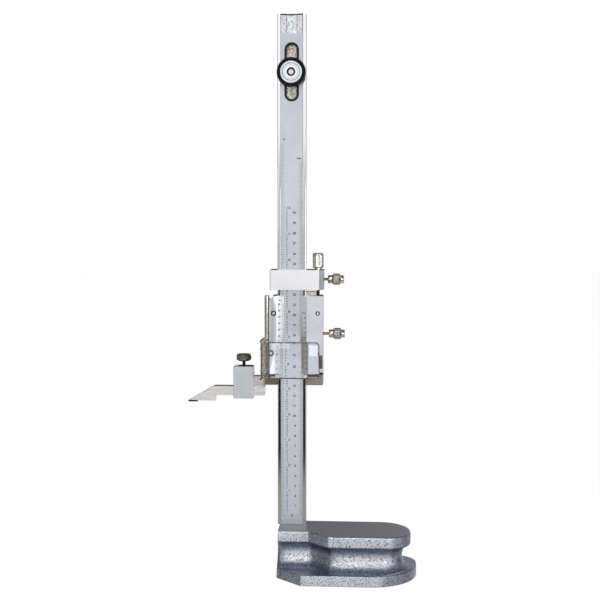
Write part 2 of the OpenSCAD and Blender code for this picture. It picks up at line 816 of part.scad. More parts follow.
module fine_adjust_knob() {
    color([0.82, 0.81, 0.79])
        translate([fine_screw_x, -fine_screw_y, clamp_top + seat_gap])
            difference() {
                union() {
                    cylinder(d = fine_neck_diameter, h = fine_neck_height);
                    translate([0, 0, fine_neck_height - seat_gap])
                        knurled_drum(fine_knob_diameter, fine_knob_height, fine_knob_teeth,
                                     fine_tooth_depth, edge_chamfer);
                }
                translate([0, 0, -overrun])
                    cylinder(d = fine_screw_diameter + 2 * fixed_gap,
                             h = fine_knob_height - fine_neck_height + overrun);
            }
}

module fine_adjust_spindle() {
    color([0.16, 0.16, 0.17])
        translate([fine_screw_x, -fine_screw_y, fine_screw_bottom]) {
            cylinder(d = fine_screw_diameter, h = fine_knob_top - fine_knob_height / 2 - fine_screw_bottom);
            translate([0, 0, clamp_bottom - fine_screw_bottom])
                cylinder(d = fine_collar_diameter, h = fine_collar_height);
        }
}

module slider_section(window) {
    c = edge_chamfer;
    difference() {
        polygon([[-slider_left, -slider_front], [-slider_left, slider_back - c],
                 [-slider_left + c, slider_back], [slider_right - c, slider_back],
                 [slider_right, slider_back - c], [slider_right, -slider_front]]);
        translate([-opening_side, -opening_face])
            square([opening_side + gib_slot_side, 2 * opening_face]);
        translate([-window, -slider_front - overrun])
            square([2 * window, slider_front]);
    }
}

module slider_frame() {
    color([0.62, 0.60, 0.57])
        difference() {
            union() {
                translate([0, 0, jaw_bottom])
                    linear_extrude(height = jaw_step)
                        slider_section(opening_side);
                translate([0, 0, vernier_bottom])
                    linear_extrude(height = slider_height)
                        slider_section(window_side);
                translate([-jaw_reach, -jaw_arm_front, jaw_bottom])
                    cube([jaw_reach - opening_side, jaw_thickness, jaw_height]);
                translate([-jaw_reach, -jaw_arm_front + seat_rib_inset, jaw_bottom - seat_rib_height])
                    cube([jaw_reach - scriber_right, jaw_thickness - 2 * seat_rib_inset,
                          seat_rib_height + overrun]);
                translate([-lug_reach, -rod_y + rod_diameter / 2 - lug_depth / 2, slider_top - lug_height])
                    cube([lug_reach - slider_left + overrun, lug_depth, lug_height - slider_chamfer]);
            }
            translate([-rod_x, -rod_y, rod_bottom - fixed_gap])
                cylinder(d = rod_diameter + 2 * fixed_gap, h = slider_top - rod_bottom + overrun);
            slider_corner_cut();
            pointing_right(0, lock_screw_z)
                cylinder(d = thumb_shank_diameter + 2 * running_gap, h = slider_right + overrun);
            for (place = gib_screw_places)
                pointing_right(0, jaw_bottom + place)
                    cylinder(d = gib_screw_diameter + 2 * fixed_gap, h = slider_right + overrun);
            translate([fine_screw_x, -fine_screw_y, fine_screw_bottom - fine_screw_spare])
                cylinder(d = fine_screw_diameter + 2 * running_gap, h = slider_height);
            for (x = [inch_screw_x, mm_screw_x], z = [vernier_screw_low, vernier_screw_high])
                countersunk_hole(x, vernier_bottom + z);
        }
}

module slider_corner_cut() {
    translate([-slider_left, -vernier_front - overrun, slider_top])
        rotate([0, 45, 0])
            translate([-slider_chamfer, 0, -slider_chamfer])
                cube([2 * slider_chamfer, vernier_front + slider_back + 2 * overrun,
                      slider_chamfer + slider_chamfer / sqrt(2)]);
}

// Section of a vernier plate: outer side, its slope's start and its edge, all distances from the axis
module vernier_section(outer, slope_start, edge) {
    inner = half_width - edge_chamfer - small_chamfer - seat_gap;
    polygon([[outer, slider_front], [outer, vernier_front], [slope_start, vernier_front],
             [edge, vernier_tip], [edge, vernier_back], [inner, vernier_back], [inner, slider_front]]);
}

module inch_vernier() {
    color([0.80, 0.81, 0.84])
        difference() {
            translate([0, 0, vernier_bottom])
                linear_extrude(height = vernier_top - vernier_bottom)
                    mirror([0, 1])
                        mirror([1, 0])
                            vernier_section(slider_left - inch_vernier_inset,
                                            inch_vernier_edge + inch_bevel_width,
                                            inch_vernier_edge);
            slider_corner_cut();
            for (z = [vernier_screw_low, vernier_screw_high])
                countersunk_hole(inch_screw_x, vernier_bottom + z);
        }
}

module mm_vernier() {
    color([0.78, 0.79, 0.82])
        difference() {
            translate([0, 0, vernier_bottom])
                linear_extrude(height = vernier_top - vernier_bottom)
                    mirror([0, 1])
                        vernier_section(slider_right, mm_vernier_edge + mm_bevel_width,
                                        mm_vernier_edge);
            for (z = [vernier_screw_low, vernier_screw_high])
                countersunk_hole(mm_screw_x, vernier_bottom + z);
        }
}

module vernier_screws() {
    color([0.45, 0.43, 0.40])
        for (x = [inch_screw_x, mm_screw_x], z = [vernier_screw_low, vernier_screw_high])
            facing_front(x, vernier_front, vernier_bottom + z)
                difference() {
                    union() {
                        cylinder(d1 = vernier_screw_head, d2 = vernier_screw_diameter,
                                 h = vernier_head_height);
                        cylinder(d = vernier_screw_diameter, h = vernier_screw_length);
                    }
                    translate([-slot_cut / 2, -vernier_screw_head, -overrun])
                        cube([slot_cut, 2 * vernier_screw_head, overrun + slot_cut]);
                }
}

module gib() {
    color([0.72, 0.68, 0.60])
        union() {
            translate([opening_side, -gib_half_width, gib_bottom])
                cube([gib_thickness, 2 * gib_half_width,
                      slider_top + seat_gap + gib_head_height - gib_bottom]);
            translate([opening_side, -gib_half_width, slider_top + seat_gap])
                cube([gib_head_end - opening_side, 2 * gib_half_width, gib_head_height]);
        }
}

module gib_screws() {
    length = slider_right - gib_screw_recess - gib_side - running_gap;
    color([0.15, 0.15, 0.16])
        for (place = gib_screw_places)
            pointing_right(gib_side + running_gap, jaw_bottom + place)
                difference() {
                    cylinder(d = gib_screw_diameter, h = length);
                    translate([-slot_cut / 2, -gib_screw_diameter, length - slot_cut])
                        cube([slot_cut, 2 * gib_screw_diameter, slot_cut + overrun]);
                }
}

module slider_lock_screw() {
    color([0.66, 0.66, 0.66])
        thumb_screw(gib_side + running_gap, slider_right + lower_shank_free, lock_screw_z);
}

module magnifier_rod() {
    color([0.88, 0.88, 0.88])
        translate([-rod_x, -rod_y, rod_bottom]) {
            cylinder(d = rod_diameter, h = slider_top - rod_bottom - small_chamfer);
            translate([0, 0, slider_top - rod_bottom - small_chamfer])
                cylinder(d1 = rod_diameter, d2 = rod_diameter - 2 * small_chamfer, h = small_chamfer);
        }
}

module magnifier_holder() {
    color([0.55, 0.50, 0.43])
        difference() {
            union() {
                translate([-clip_left, -clip_front, clip_bottom])
                    cube([clip_left - clip_right, clip_front - clip_back, clip_height]);
                translate([-clip_left, -lens_front, clip_bottom])
                    cube([sheet_thickness, lens_front - clip_back, clip_height]);
                for (z = [clip_bottom, clip_bottom + clip_height - sheet_thickness])
                    translate([-clip_left - flare_size, -lens_front, z])
                        cube([flare_size + sheet_thickness, lens_front - clip_front, sheet_thickness]);
            }
            translate([-rod_x, -rod_y, clip_bottom - overrun])
                cylinder(d = rod_diameter + 2 * running_gap, h = clip_height + 2 * overrun);
            for (z = [rivet_inset, lens_frame_height - rivet_inset])
                pointing_left(lens_frame_bottom + z)
                    cylinder(d = rivet_diameter + 2 * fixed_gap, h = 2 * clip_left);
        }
}

// Along -X from the column's axis, at the depth of the lens flange
module pointing_left(z) {
    translate([0, -lens_front + lens_frame_depth / 2, z])
        rotate([0, -90, 0])
            children();
}

module magnifier_frame() {
    color([0.50, 0.46, 0.40])
        difference() {
            union() {
                facing_front(lens_frame_x, lens_front, lens_centre_z)
                    linear_extrude(height = lens_frame_depth)
                        difference() {
                            rounded_rectangle(lens_frame_width, lens_frame_height, lens_corner_radius);
                            rounded_rectangle(lens_frame_width - 2 * sheet_thickness,
                                              lens_frame_height - 2 * sheet_thickness, lens_rim_radius);
                        }
                translate([lens_frame_left + lens_frame_width - sheet_thickness, -lens_front,
                           lens_frame_bottom + tab_rise])
                    cube([tab_width, lens_frame_depth / 2, tab_height]);
            }
            for (z = [rivet_inset, lens_frame_height - rivet_inset])
                pointing_left(lens_frame_bottom + z)
                    cylinder(d = rivet_diameter + 2 * fixed_gap, h = 2 * clip_left);
        }
}

module magnifier_rivets() {
    span = clip_left - plate_inner + sheet_thickness;
    color([0.75, 0.74, 0.72])
        for (z = [rivet_inset, lens_frame_height - rivet_inset])
            translate([-clip_left - rivet_head - fixed_gap, -lens_front + lens_frame_depth / 2,
                       lens_frame_bottom + z])
                rotate([0, 90, 0]) {
                    cylinder(d1 = rivet_diameter, d2 = rivet_head_diameter, h = rivet_head);
                    cylinder(d = rivet_diameter, h = span + rivet_head + 2 * fixed_gap);
                }
}

module magnifier_lens() {
    lens_height = lens_frame_height - 2 * sheet_thickness - 2 * fixed_gap;
    color([0.85, 0.92, 0.95, 0.4])
        intersection() {
            facing_front(lens_centre_x, lens_front + overrun, lens_centre_z)
                linear_extrude(height = lens_front - lens_back + overrun)
                    rounded_rectangle(lens_width, lens_height, lens_rim_radius - fixed_gap);
            translate([lens_centre_x, -lens_front + lens_surface_radius, lens_centre_z])
                sphere(r = lens_surface_radius, $fn = lens_fn);
        }
}

module scriber_clamp_box() {
    color([0.72, 0.73, 0.75])
        difference() {
            translate([-box_x - box_width / 2, box_middle_y - box_depth / 2, box_bottom])
                linear_extrude(height = box_height)
                    translate([box_width / 2, box_depth / 2])
                        rounded_rectangle(box_width, box_depth, edge_chamfer);
            translate([-box_x - box_width, -jaw_arm_front - window_gap, box_window_bottom])
                cube([2 * box_width, jaw_thickness + 2 * window_gap, box_window_top - box_window_bottom]);
            translate([-box_x, box_middle_y, box_window_top - overrun])
                cylinder(d = box_screw_diameter + 2 * running_gap, h = box_height);
            translate([-box_x - box_width, box_middle_y - box_recess_width / 2, box_top - box_recess_depth])
                cube([2 * box_width, box_recess_width, box_recess_depth + overrun]);
        }
}

module scriber_clamp_pad() {
    pad_length = box_width - 4 * edge_chamfer;
    color([0.78, 0.65, 0.35])
        translate([-box_x - pad_length / 2, box_middle_y - jaw_thickness / 2, pad_bottom])
            cube([pad_length, jaw_thickness, pad_height]);
}

module scriber_clamp_screw() {
    color([0.14, 0.14, 0.14])
        translate([-box_x, box_middle_y, box_window_top])
            cylinder(d = box_screw_diameter, h = box_knob_bottom + box_knob_height / 2 - box_window_top);
}

module scriber_clamp_knob() {
    color([0.36, 0.34, 0.31])
        translate([-box_x, box_middle_y, box_knob_bottom])
            difference() {
                knurled_drum(box_knob_diameter, box_knob_height, box_knob_teeth, box_tooth_depth,
                             2 * edge_chamfer);
                translate([0, 0, -overrun])
                    cylinder(d = box_screw_diameter + 2 * fixed_gap,
                             h = box_knob_height / 2 + fixed_gap + overrun);
            }
}

module scriber_plan() {
    half = scriber_thickness / 2;
    polygon([[-scriber_right, -half], [-scriber_right, half], [-nose_x, half],
             [-scriber_left, point_width / 2], [-scriber_left, -point_width / 2], [-nose_x, -half]]);
}

module scriber_solid() {
    intersection() {
        translate([0, -scriber_front + scriber_thickness, 0])
            rotate([90, 0, 0])
                linear_extrude(height = scriber_thickness)
                    polygon([[-scriber_right, scriber_top], [-nose_x, scriber_top],
                             [-scriber_left, tip_bottom + point_height],
                             [-scriber_left, tip_bottom], [-nose_x + nose_heel, tip_bottom],
                             [-nose_x + nose_heel, scriber_bottom], [-scriber_right, scriber_bottom]]);
        translate([0, -scriber_front + scriber_thickness / 2, tip_bottom - overrun])
            linear_extrude(height = scriber_top - tip_bottom + 2 * overrun)
                scriber_plan();
    }
}

// The seat that the hard tip fills, along the underside of the nose
module tip_seat(margin) {
    translate([-scriber_left - overrun, -scriber_front - overrun, tip_bottom - overrun])
        cube([overrun + tip_length + margin, scriber_thickness + 2 * overrun,
              overrun + tip_height + margin]);
}

module scriber_blade() {
    color([0.80, 0.79, 0.77])
        difference() {
            scriber_solid();
            tip_seat(0);
            translate([-nose_x - nose_length + tip_length - overrun, -scriber_front - overrun,
                       tip_bottom - overrun])
                cube([nose_length + nose_heel, scriber_thickness + 2 * overrun, overrun + tip_proud]);
        }
}

module carbide_tip() {
    color([0.10, 0.10, 0.10])
        intersection() {
            scriber_solid();
            tip_seat(-running_gap);
        }
}

base_casting();
column();
column_screws();
zero_lock_stud();
main_scale();
scale_slot_liner();
zero_lock_washer();
zero_lock_knob();
zero_lock_cap();
fine_clamp_block();
fine_clamp_shoe();
fine_clamp_screw();
fine_adjust_knob();
fine_adjust_spindle();
slider_frame();
inch_vernier();
mm_vernier();
vernier_screws();
gib();
gib_screws();
slider_lock_screw();
magnifier_rod();
magnifier_holder();
magnifier_frame();
magnifier_rivets();
magnifier_lens();
scriber_clamp_box();
scriber_clamp_pad();
scriber_clamp_screw();
scriber_clamp_knob();
scriber_blade();
carbide_tip();
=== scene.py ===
import json
import math

import bpy
import numpy as np
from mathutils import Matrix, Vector

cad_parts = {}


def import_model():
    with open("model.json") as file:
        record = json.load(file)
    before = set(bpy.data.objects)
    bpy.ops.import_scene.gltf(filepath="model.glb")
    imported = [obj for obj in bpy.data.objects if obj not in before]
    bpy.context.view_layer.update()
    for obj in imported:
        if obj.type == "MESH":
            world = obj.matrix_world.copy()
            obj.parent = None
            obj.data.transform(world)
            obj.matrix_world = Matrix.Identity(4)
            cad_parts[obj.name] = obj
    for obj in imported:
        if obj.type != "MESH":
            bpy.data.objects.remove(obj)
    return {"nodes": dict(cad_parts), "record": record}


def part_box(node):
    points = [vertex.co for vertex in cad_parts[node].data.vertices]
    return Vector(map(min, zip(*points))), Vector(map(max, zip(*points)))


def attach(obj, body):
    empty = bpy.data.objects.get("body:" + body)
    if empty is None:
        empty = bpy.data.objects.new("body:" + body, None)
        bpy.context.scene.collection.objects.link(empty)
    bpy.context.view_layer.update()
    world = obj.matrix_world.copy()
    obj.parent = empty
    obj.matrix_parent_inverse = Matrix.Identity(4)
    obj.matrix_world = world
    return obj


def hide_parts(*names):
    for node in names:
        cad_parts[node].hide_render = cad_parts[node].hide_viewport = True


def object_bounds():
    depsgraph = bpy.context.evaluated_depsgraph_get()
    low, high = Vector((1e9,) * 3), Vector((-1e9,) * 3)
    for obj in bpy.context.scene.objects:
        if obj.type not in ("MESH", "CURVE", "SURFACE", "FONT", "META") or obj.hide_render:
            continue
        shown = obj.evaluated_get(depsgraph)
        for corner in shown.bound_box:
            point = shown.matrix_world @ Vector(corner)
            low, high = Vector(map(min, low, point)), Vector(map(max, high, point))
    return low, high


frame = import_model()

cad_low, cad_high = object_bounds()
NODES = frame["nodes"]
MM = 0.001


def lin(text):
    """The linear colour of an #rrggbb text."""
    parts = [int(text[i:i + 2], 16) / 255 for i in (1, 3, 5)]
    return tuple(c / 12.92 if c <= 0.04045 else ((c + 0.055) / 1.055) ** 2.4 for c in parts) + (1.0,)


# Node trees


class Tree:
    """Adds nodes to a tree and joins them. Inputs go by name or number, and take a value or an output."""

    def __init__(self, tree):
        self.tree = tree
        tree.nodes.clear()

    def add(self, kind, inputs=None, **props):
        node = self.tree.nodes.new(kind)
        for key, value in props.items():
            setattr(node, key, value)
        for key, value in (inputs or {}).items():
            self.put(node, key, value)
        return node

    def put(self, node, key, value):
        socket = node.inputs[key]
        if isinstance(value, bpy.types.NodeSocket):
            self.tree.links.new(value, socket)
        else:
            socket.default_value = value

    def math(self, operation, a, b=0.0):
        return self.add("ShaderNodeMath", {0: a, 1: b}, operation=operation).outputs[0]

    def times(self, a, b):
        return self.math("MULTIPLY", a, b)

    def plus(self, a, b):
        return self.math("ADD", a, b)

    def minus(self, a, b):
        return self.math("SUBTRACT", a, b)

    def absolute(self, value):
        return self.math("ABSOLUTE", value)

    def distance(self, a, b):
        """The length of the hypotenuse over a and b."""
        return self.math("SQRT", self.plus(self.times(a, a), self.times(b, b)))

    def xyz(self, vector):
        """The three parts of a vector."""
        return self.add("ShaderNodeSeparateXYZ", {0: vector}).outputs

    def span(self, value, low, high, out_low=0.0, out_high=1.0, smooth=True):
        """Maps low to out_low and high to out_high, and stays there beyond them."""
        kind = "SMOOTHSTEP" if smooth else "LINEAR"
        node = self.add("ShaderNodeMapRange", {"Value": value, "From Min": low, "From Max": high,
                                               "To Min": out_low, "To Max": out_high},
                        interpolation_type=kind)
        return node.outputs[0]

    def spread(self, noise, low=0.0, high=1.0):
        """Stretches the middle of a noise, which seldom leaves it, over a range."""
        return self.span(noise, 0.3, 0.7, low, high)

    def mix(self, factor, a, b, blend="MIX"):
        node = self.add("ShaderNodeMix", data_type="RGBA", blend_type=blend)
        for socket, value in zip((node.inputs[0], node.inputs[6], node.inputs[7]), (factor, a, b)):
            if isinstance(value, bpy.types.NodeSocket):
                self.tree.links.new(value, socket)
            else:
                socket.default_value = value
        return node.outputs[2]

    def ramp(self, value, stops):
        node = self.add("ShaderNodeValToRGB", {0: value})
        band = node.color_ramp
        while len(band.elements) < len(stops):
            band.elements.new(0.5)
        for element, (place, colour) in zip(band.elements, stops):
            element.position = place
            element.color = colour
        return node.outputs[0]

    def noise(self, coords, scale, stretch=(1, 1, 1), detail=4.0, rough=0.55):
        moved = self.add("ShaderNodeMapping", {"Vector": coords, "Scale": stretch})
        node = self.add("ShaderNodeTexNoise", {"Vector": moved.outputs[0], "Scale": scale,
                                               "Detail": detail, "Roughness": rough})
        return node.outputs[0]

    def tinted(self, mask, tone, tint):
        """The tone, multiplied by a tint where the mask is 1."""
        return self.mix(mask, tone, self.mix(1.0, tone, tuple(tint) + (1.0,), "MULTIPLY"))

    def within(self, value, low, high, soft=0.00015):
        """1 between low and high, 0 outside, with a soft edge."""
        return self.times(self.span(value, low - soft, low + soft),
                          self.span(value, high + soft, high - soft))

    def bump(self, shader, height, strength, distance, **inputs):
        """Gives the shader a relief from a height."""
        node = self.add("ShaderNodeBump", {"Height": height, "Strength": strength, "Distance": distance,
                                           **inputs})
        self.put(shader, "Normal", node.outputs[0])


def new_material(name):
    """A material with its tree, its shader, its output node and the object's coordinates."""
    made = bpy.data.materials.new(name)
    made.use_nodes = True
    tree = Tree(made.node_tree)
    shader = tree.add("ShaderNodeBsdfPrincipled")
    out = tree.add("ShaderNodeOutputMaterial", {"Surface": shader.outputs[0]})
    coords = tree.add("ShaderNodeTexCoord").outputs["Object"]
    return made, tree, shader, out, coords


# Between these upward parts of the normal a face comes to count as level
LEVEL = (0.78, 0.85)


def metal(name, colour, rough, grain=(1, 1, 1), grain_scale=900, vary=0.06, rough_vary=0.06, bump=0.03,
          cloud=0.05, top=None, tint=None):
    """Plated or ground steel: fine grain drawn along one axis, slow clouds of tone, and roughness that
    follows the grain. top is the roughness of its level upper faces, where that differs.
    tint(tree, coords, tone) may change the tone by place."""
    made, tree, shader, _, coords = new_material(name)
    base = lin(colour)
    grain_value = tree.noise(coords, grain_scale, grain)
    cloud_value = tree.noise(coords, 60, (1, 1, 1), 3.0)
    dark = tuple(c * (1 - vary) for c in base[:3]) + (1.0,)
    light = tuple(min(1.0, c * (1 + vary)) for c in base[:3]) + (1.0,)
    tone = tree.mix(tree.spread(grain_value), dark, light)
    shade = tree.spread(cloud_value, 1 - cloud, 1 + cloud)
    tone = tree.mix(1.0, tone, shade, "MULTIPLY")
    tree.put(shader, "Base Color", tint(tree, coords, tone) if tint else tone)
    shader.inputs["Metallic"].default_value = 1.0
    even = tree.spread(grain_value, rough - rough_vary, rough + rough_vary)
    relief = bump
    if top is not None:
        up = tree.xyz(tree.add("ShaderNodeNewGeometry").outputs["Normal"])[2]
        even = tree.times(even, tree.span(up, *LEVEL, 1.0, top / rough))
        relief = tree.span(up, *LEVEL, bump, 0.0)
    tree.put(shader, "Roughness", even)
    tree.bump(shader, grain_value, relief, 0.0002)
    return made


# Places on the nodes, in metres: the jaw's top and the foot of its rib, where the column's side shows,
# the step of the carriage, and half of a vernier screw's head
JAW_TOP = 0.1998
JAW_RIB_FOOT = 0.1956
COLUMN_SIDE = 0.0125
CLAMP_STEP = 0.0269
VERNIER_HEAD = 0.0023
MIDDLES = {name: [(low + high) / 2 for low, high in zip(*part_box(name))]
           for name in ("slider_lock_screw", "fine_clamp_screw", "zero_lock_cap")}


def jaw_tint(tree, coords, tone):
    """Painted shade on the jaw below the vernier plates: a darker brown tone, most of all beside the column,
    for the shade it lies in and the dark it reflects, more painted shade at the left below the rib's foot,
    and a painted shadow under the plates.
    """
    x, y, z = tree.xyz(coords)
    below = tree.times(tree.span(z, JAW_TOP + 0.00005, JAW_TOP - 0.00015), tree.span(y, 0.012, -0.006))
    tone = tree.tinted(below, tone, (1.0, 0.99, 0.98))
    # Painted shade: darker and browner beside the column
    beside = tree.span(x, COLUMN_SIDE - 0.0005, COLUMN_SIDE + 0.0005)
    tone = tree.tinted(tree.times(below, beside), tone, (0.5, 0.46, 0.41))
    # Painted shade at the left, below the foot of the rib
    near = tree.times(tree.span(x, -0.0295, -0.025),
                      tree.span(x, 0.0005 - COLUMN_SIDE, -0.0005 - COLUMN_SIDE))
    foot = tree.span(z, JAW_RIB_FOOT, JAW_RIB_FOOT - 0.0003)
    tone = tree.tinted(tree.times(near, foot), tone, (0.29, 0.26, 0.2))
    # Painted shadow: a dark strip under the vernier plates
    strip = tree.times(tree.within(z, JAW_TOP - 0.0024, JAW_TOP), tree.span(y, -0.0082, -0.0084))
    return tree.tinted(strip, tone, (0.06, 0.06, 0.06))


def clamp_tint(tree, coords, tone):
    """Painted shade: the step at the right end of the carriage is darkened for the shade it lies in."""
    x, y, _ = tree.xyz(coords)
    step = tree.times(tree.span(x, CLAMP_STEP - 0.00005, CLAMP_STEP + 0.00005),
                      tree.span(y, -0.0122, -0.0118))
    return tree.tinted(step, tone, (0.42, 0.43, 0.46))


def box_tint(tree, coords, tone):
    """Painted shade: the groove across the top of the box is darkened nearly to black."""
    x, y, z = tree.xyz(coords)
    groove = tree.times(tree.within(y, -0.0071, 0.0003), tree.within(x, -0.0532, -0.0386, 0.0004))
    groove = tree.times(groove, tree.within(z, 0.2039, 0.2051))
    return tree.tinted(groove, tone, (0.05, 0.05, 0.055))


def knurl_tint(tree, coords, tone):
    """The knurled drum of each thumb screw is darker than its collars, and its shank is browner."""
    _, y, z = tree.xyz(coords)
    lower, upper = MIDDLES["slider_lock_screw"][2], MIDDLES["fine_clamp_screw"][2]
    is_upper = tree.math("GREATER_THAN", z, (lower + upper) / 2)
    middle = tree.plus(lower, tree.times(is_upper, upper - lower))
    away = tree.distance(y, tree.minus(z, middle))
    tone = tree.tinted(tree.span(away, 0.0043, 0.0047), tone, (0.72, 0.72, 0.72))
    return tree.tinted(tree.span(away, 0.0018, 0.0016), tone, (0.6, 0.5, 0.38))


def clip_tint(tree, coords, tone):
    """The clip round the rod is mottled, and paler than the side plate."""
    x, y, z = tree.xyz(coords)
    mottle = tree.noise(coords, 800, (1, 1, 1), 4.0, 0.7)
    steel = tree.mix(tree.span(mottle, 0.35, 0.65), lin("#a09d9c"), lin("#f4f2f2"))
    steel = tree.mix(tree.span(z, 0.2316, 0.2319), steel, lin("#f2f2f0"))
    clip = tree.times(tree.span(y, -0.0088, -0.0084), tree.span(x, -0.02695, -0.0268))
    return tree.mix(clip, tone, steel)


def inch_tint(tree, coords, tone):
    """Painted shade on the inch plate: dark rings round its two screws, and a darker strip at its left."""
    x, _, z = tree.xyz(coords)
    low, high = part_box("vernier_screws")
    middle, spread = (low[2] + high[2]) / 2, (high[2] - low[2]) / 2 - VERNIER_HEAD
    up = tree.minus(tree.absolute(tree.minus(z, middle)), spread)
    away = tree.distance(tree.minus(x, low[0] + VERNIER_HEAD), up)
    # Painted shade: a darker strip at the left, where the rod and holder shade the plate
    tone = tree.tinted(tree.span(x, -0.0168, -0.0178), tone, (0.8, 0.82, 0.87))
    # Painted shade: a dark ring round each screw head
    return tree.tinted(tree.span(away, 0.0029, 0.0026), tone, (0.22, 0.19, 0.15))


def scale_tint(tree, coords, tone):
    """The strip is brighter below the slider."""
    z = tree.xyz(coords)[2]
    return tree.tinted(tree.span(z, 0.25, 0.17), tone, (1.38, 1.38, 1.38))


def mm_tint(tree, coords, tone):
    """Painted light: the bevel of the millimetre plate is made brighter, for the light it reflects."""
    x = tree.xyz(coords)[0]
    return tree.tinted(tree.span(x, 0.0143, 0.0141), tone, (1.38, 1.36, 1.32))


def ring_tint(tree, coords, tone):
    """Turned circles on the disc and a dark hub."""
    x, _, z = tree.xyz(coords)
    away = tree.distance(x, tree.minus(z, MIDDLES["zero_lock_cap"][2]))
    for radius, half in ((0.0082, 0.00032), (0.0092, 0.0001), (0.0066, 0.0001)):
        off = tree.absolute(tree.minus(away, radius))
        tone = tree.mix(tree.span(off, half + 0.00012, half), tone, lin("#8f95a6"))
    return tree.mix(tree.span(away, 0.0043, 0.0041), tone, lin("#26272c"))


def dull(name, colour, rough, grain_scale=1500, vary=0.15, bump=0.1, specular=0.5):
    """Paint, plastic or blackened steel with a fine uneven skin."""
    made, tree, shader, _, coords = new_material(name)
    base = lin(colour)
    grain_value = tree.noise(coords, grain_scale, (1, 1, 1), 5.0)
    dark = tuple(c * (1 - vary) for c in base[:3]) + (1.0,)
    light = tuple(c * (1 + vary) for c in base[:3]) + (1.0,)
    tree.put(shader, "Base Color", tree.mix(tree.span(grain_value, 0.35, 0.65), dark, light))
    tree.put(shader, "Roughness", tree.spread(grain_value, rough - 0.06, rough + 0.06))
    shader.inputs["Specular IOR Level"].default_value = specular
    tree.bump(shader, grain_value, bump, 0.0001)
    return made


# Heights on the casting, and how far its shading is rounded at edges and at the groove's bend
SLAB_TOP = 0.0465
GROOVE_FOOT, GROOVE_TOP = 0.0125, 0.0285
EDGE_RADIUS, GROOVE_RADIUS = 0.0005, 0.013


def hammered(name):
    """Speckled metallic paint on the casting's sides, smoother on its top, with ground iron underneath. Sides
    that face down, tilt up or face aside are darkened (painted shade), and the top's darker grey is partly
    painted shade for the dark it reflects.
    """
    made, tree, shader, _, coords = new_material(name)
    z = tree.xyz(coords)[2]
    up = tree.xyz(tree.add("ShaderNodeNewGeometry").outputs["Normal"])[2]
    speck = tree.noise(coords, 760, (1, 1, 1), 4.0, 0.65)
    fine = tree.noise(coords, 2300, (1, 1, 1), 2.0)
    broad = tree.noise(coords, 45, (1, 1, 1), 2.0)
    top = tree.times(tree.span(up, 0.96, 0.995), tree.span(z, SLAB_TOP - 0.0003, SLAB_TOP + 0.0003))
    under = tree.span(up, -0.9, -0.98)
    in_groove = tree.times(tree.span(z, GROOVE_FOOT, GROOVE_FOOT + 0.002),
                           tree.span(z, GROOVE_TOP, GROOVE_TOP - 0.002))
    radius = tree.plus(EDGE_RADIUS, tree.times(in_groove, GROOVE_RADIUS))
    rounded = tree.add("ShaderNodeBevel", {"Radius": radius})
    rounded.samples = 8
    aside = tree.absolute(tree.xyz(rounded.outputs[0])[0])
    paint = tree.mix(tree.span(speck, 0.34, 0.55), lin("#717989"), lin("#fafbff"))
    paint = tree.mix(tree.span(fine, 0.3, 0.5, 0.45, 0.0), paint, lin("#a0a6b3"))
    # Painted shade: faces that look down, tilt a little up, look up or face aside are darkened for the light
    # they miss
    for mask, tint in ((tree.span(up, 0.08, -0.45), (0.27, 0.3, 0.365)),
                       (tree.span(up, 0.02, 0.16), (0.74, 0.745, 0.76)),
                       (tree.span(up, 0.35, 0.9), (0.49, 0.55, 0.65)),
                       (tree.span(aside, 0.12, 0.42), (0.52, 0.535, 0.6))):
        paint = tree.tinted(mask, paint, tint)
    paint = tree.mix(1.0, paint, tree.spread(broad, 0.9, 1.08), "MULTIPLY")
    # The top's darker grey is partly painted shade, for the dark it reflects
    smooth = tree.mix(tree.span(fine, 0.35, 0.65), lin("#6a6a70"), lin("#7c7c83"))
    colour = tree.mix(top, paint, smooth)
    tree.put(shader, "Base Color", tree.mix(under, colour, lin("#8b8a88")))
    tree.put(shader, "Metallic", tree.minus(0.85, tree.times(top, 0.65)))
    rough = tree.times(tree.span(speck, 0.35, 0.6, 0.42, 0.3), tree.minus(1.0, top))
    tree.put(shader, "Roughness", tree.plus(rough, tree.times(top, 0.34)))
    relief = tree.plus(speck, tree.times(fine, 0.25))
    strength = tree.minus(0.5, tree.times(top, 0.44))
    tree.bump(shader, relief, strength, 0.0004, Normal=rounded.outputs[0])
    return made


# Half widths of the column's channel and of the slot in it, the slot's top, and the lines of painted shade
# at the steps in the channel as (place, half width, colour)
CHANNEL_SIDE = 0.0109
KEYWAY_SIDE = 0.0051
KEYWAY_TOP = 0.527
CHANNEL_SHADE_LINES = ((KEYWAY_SIDE, 0.00022, "#6d665f"), (-KEYWAY_SIDE, 0.00014, "#8f8a86"),
                 (0.0107, 0.0004, "#4a4038"), (-0.0108, 0.00015, "#8a8581"))


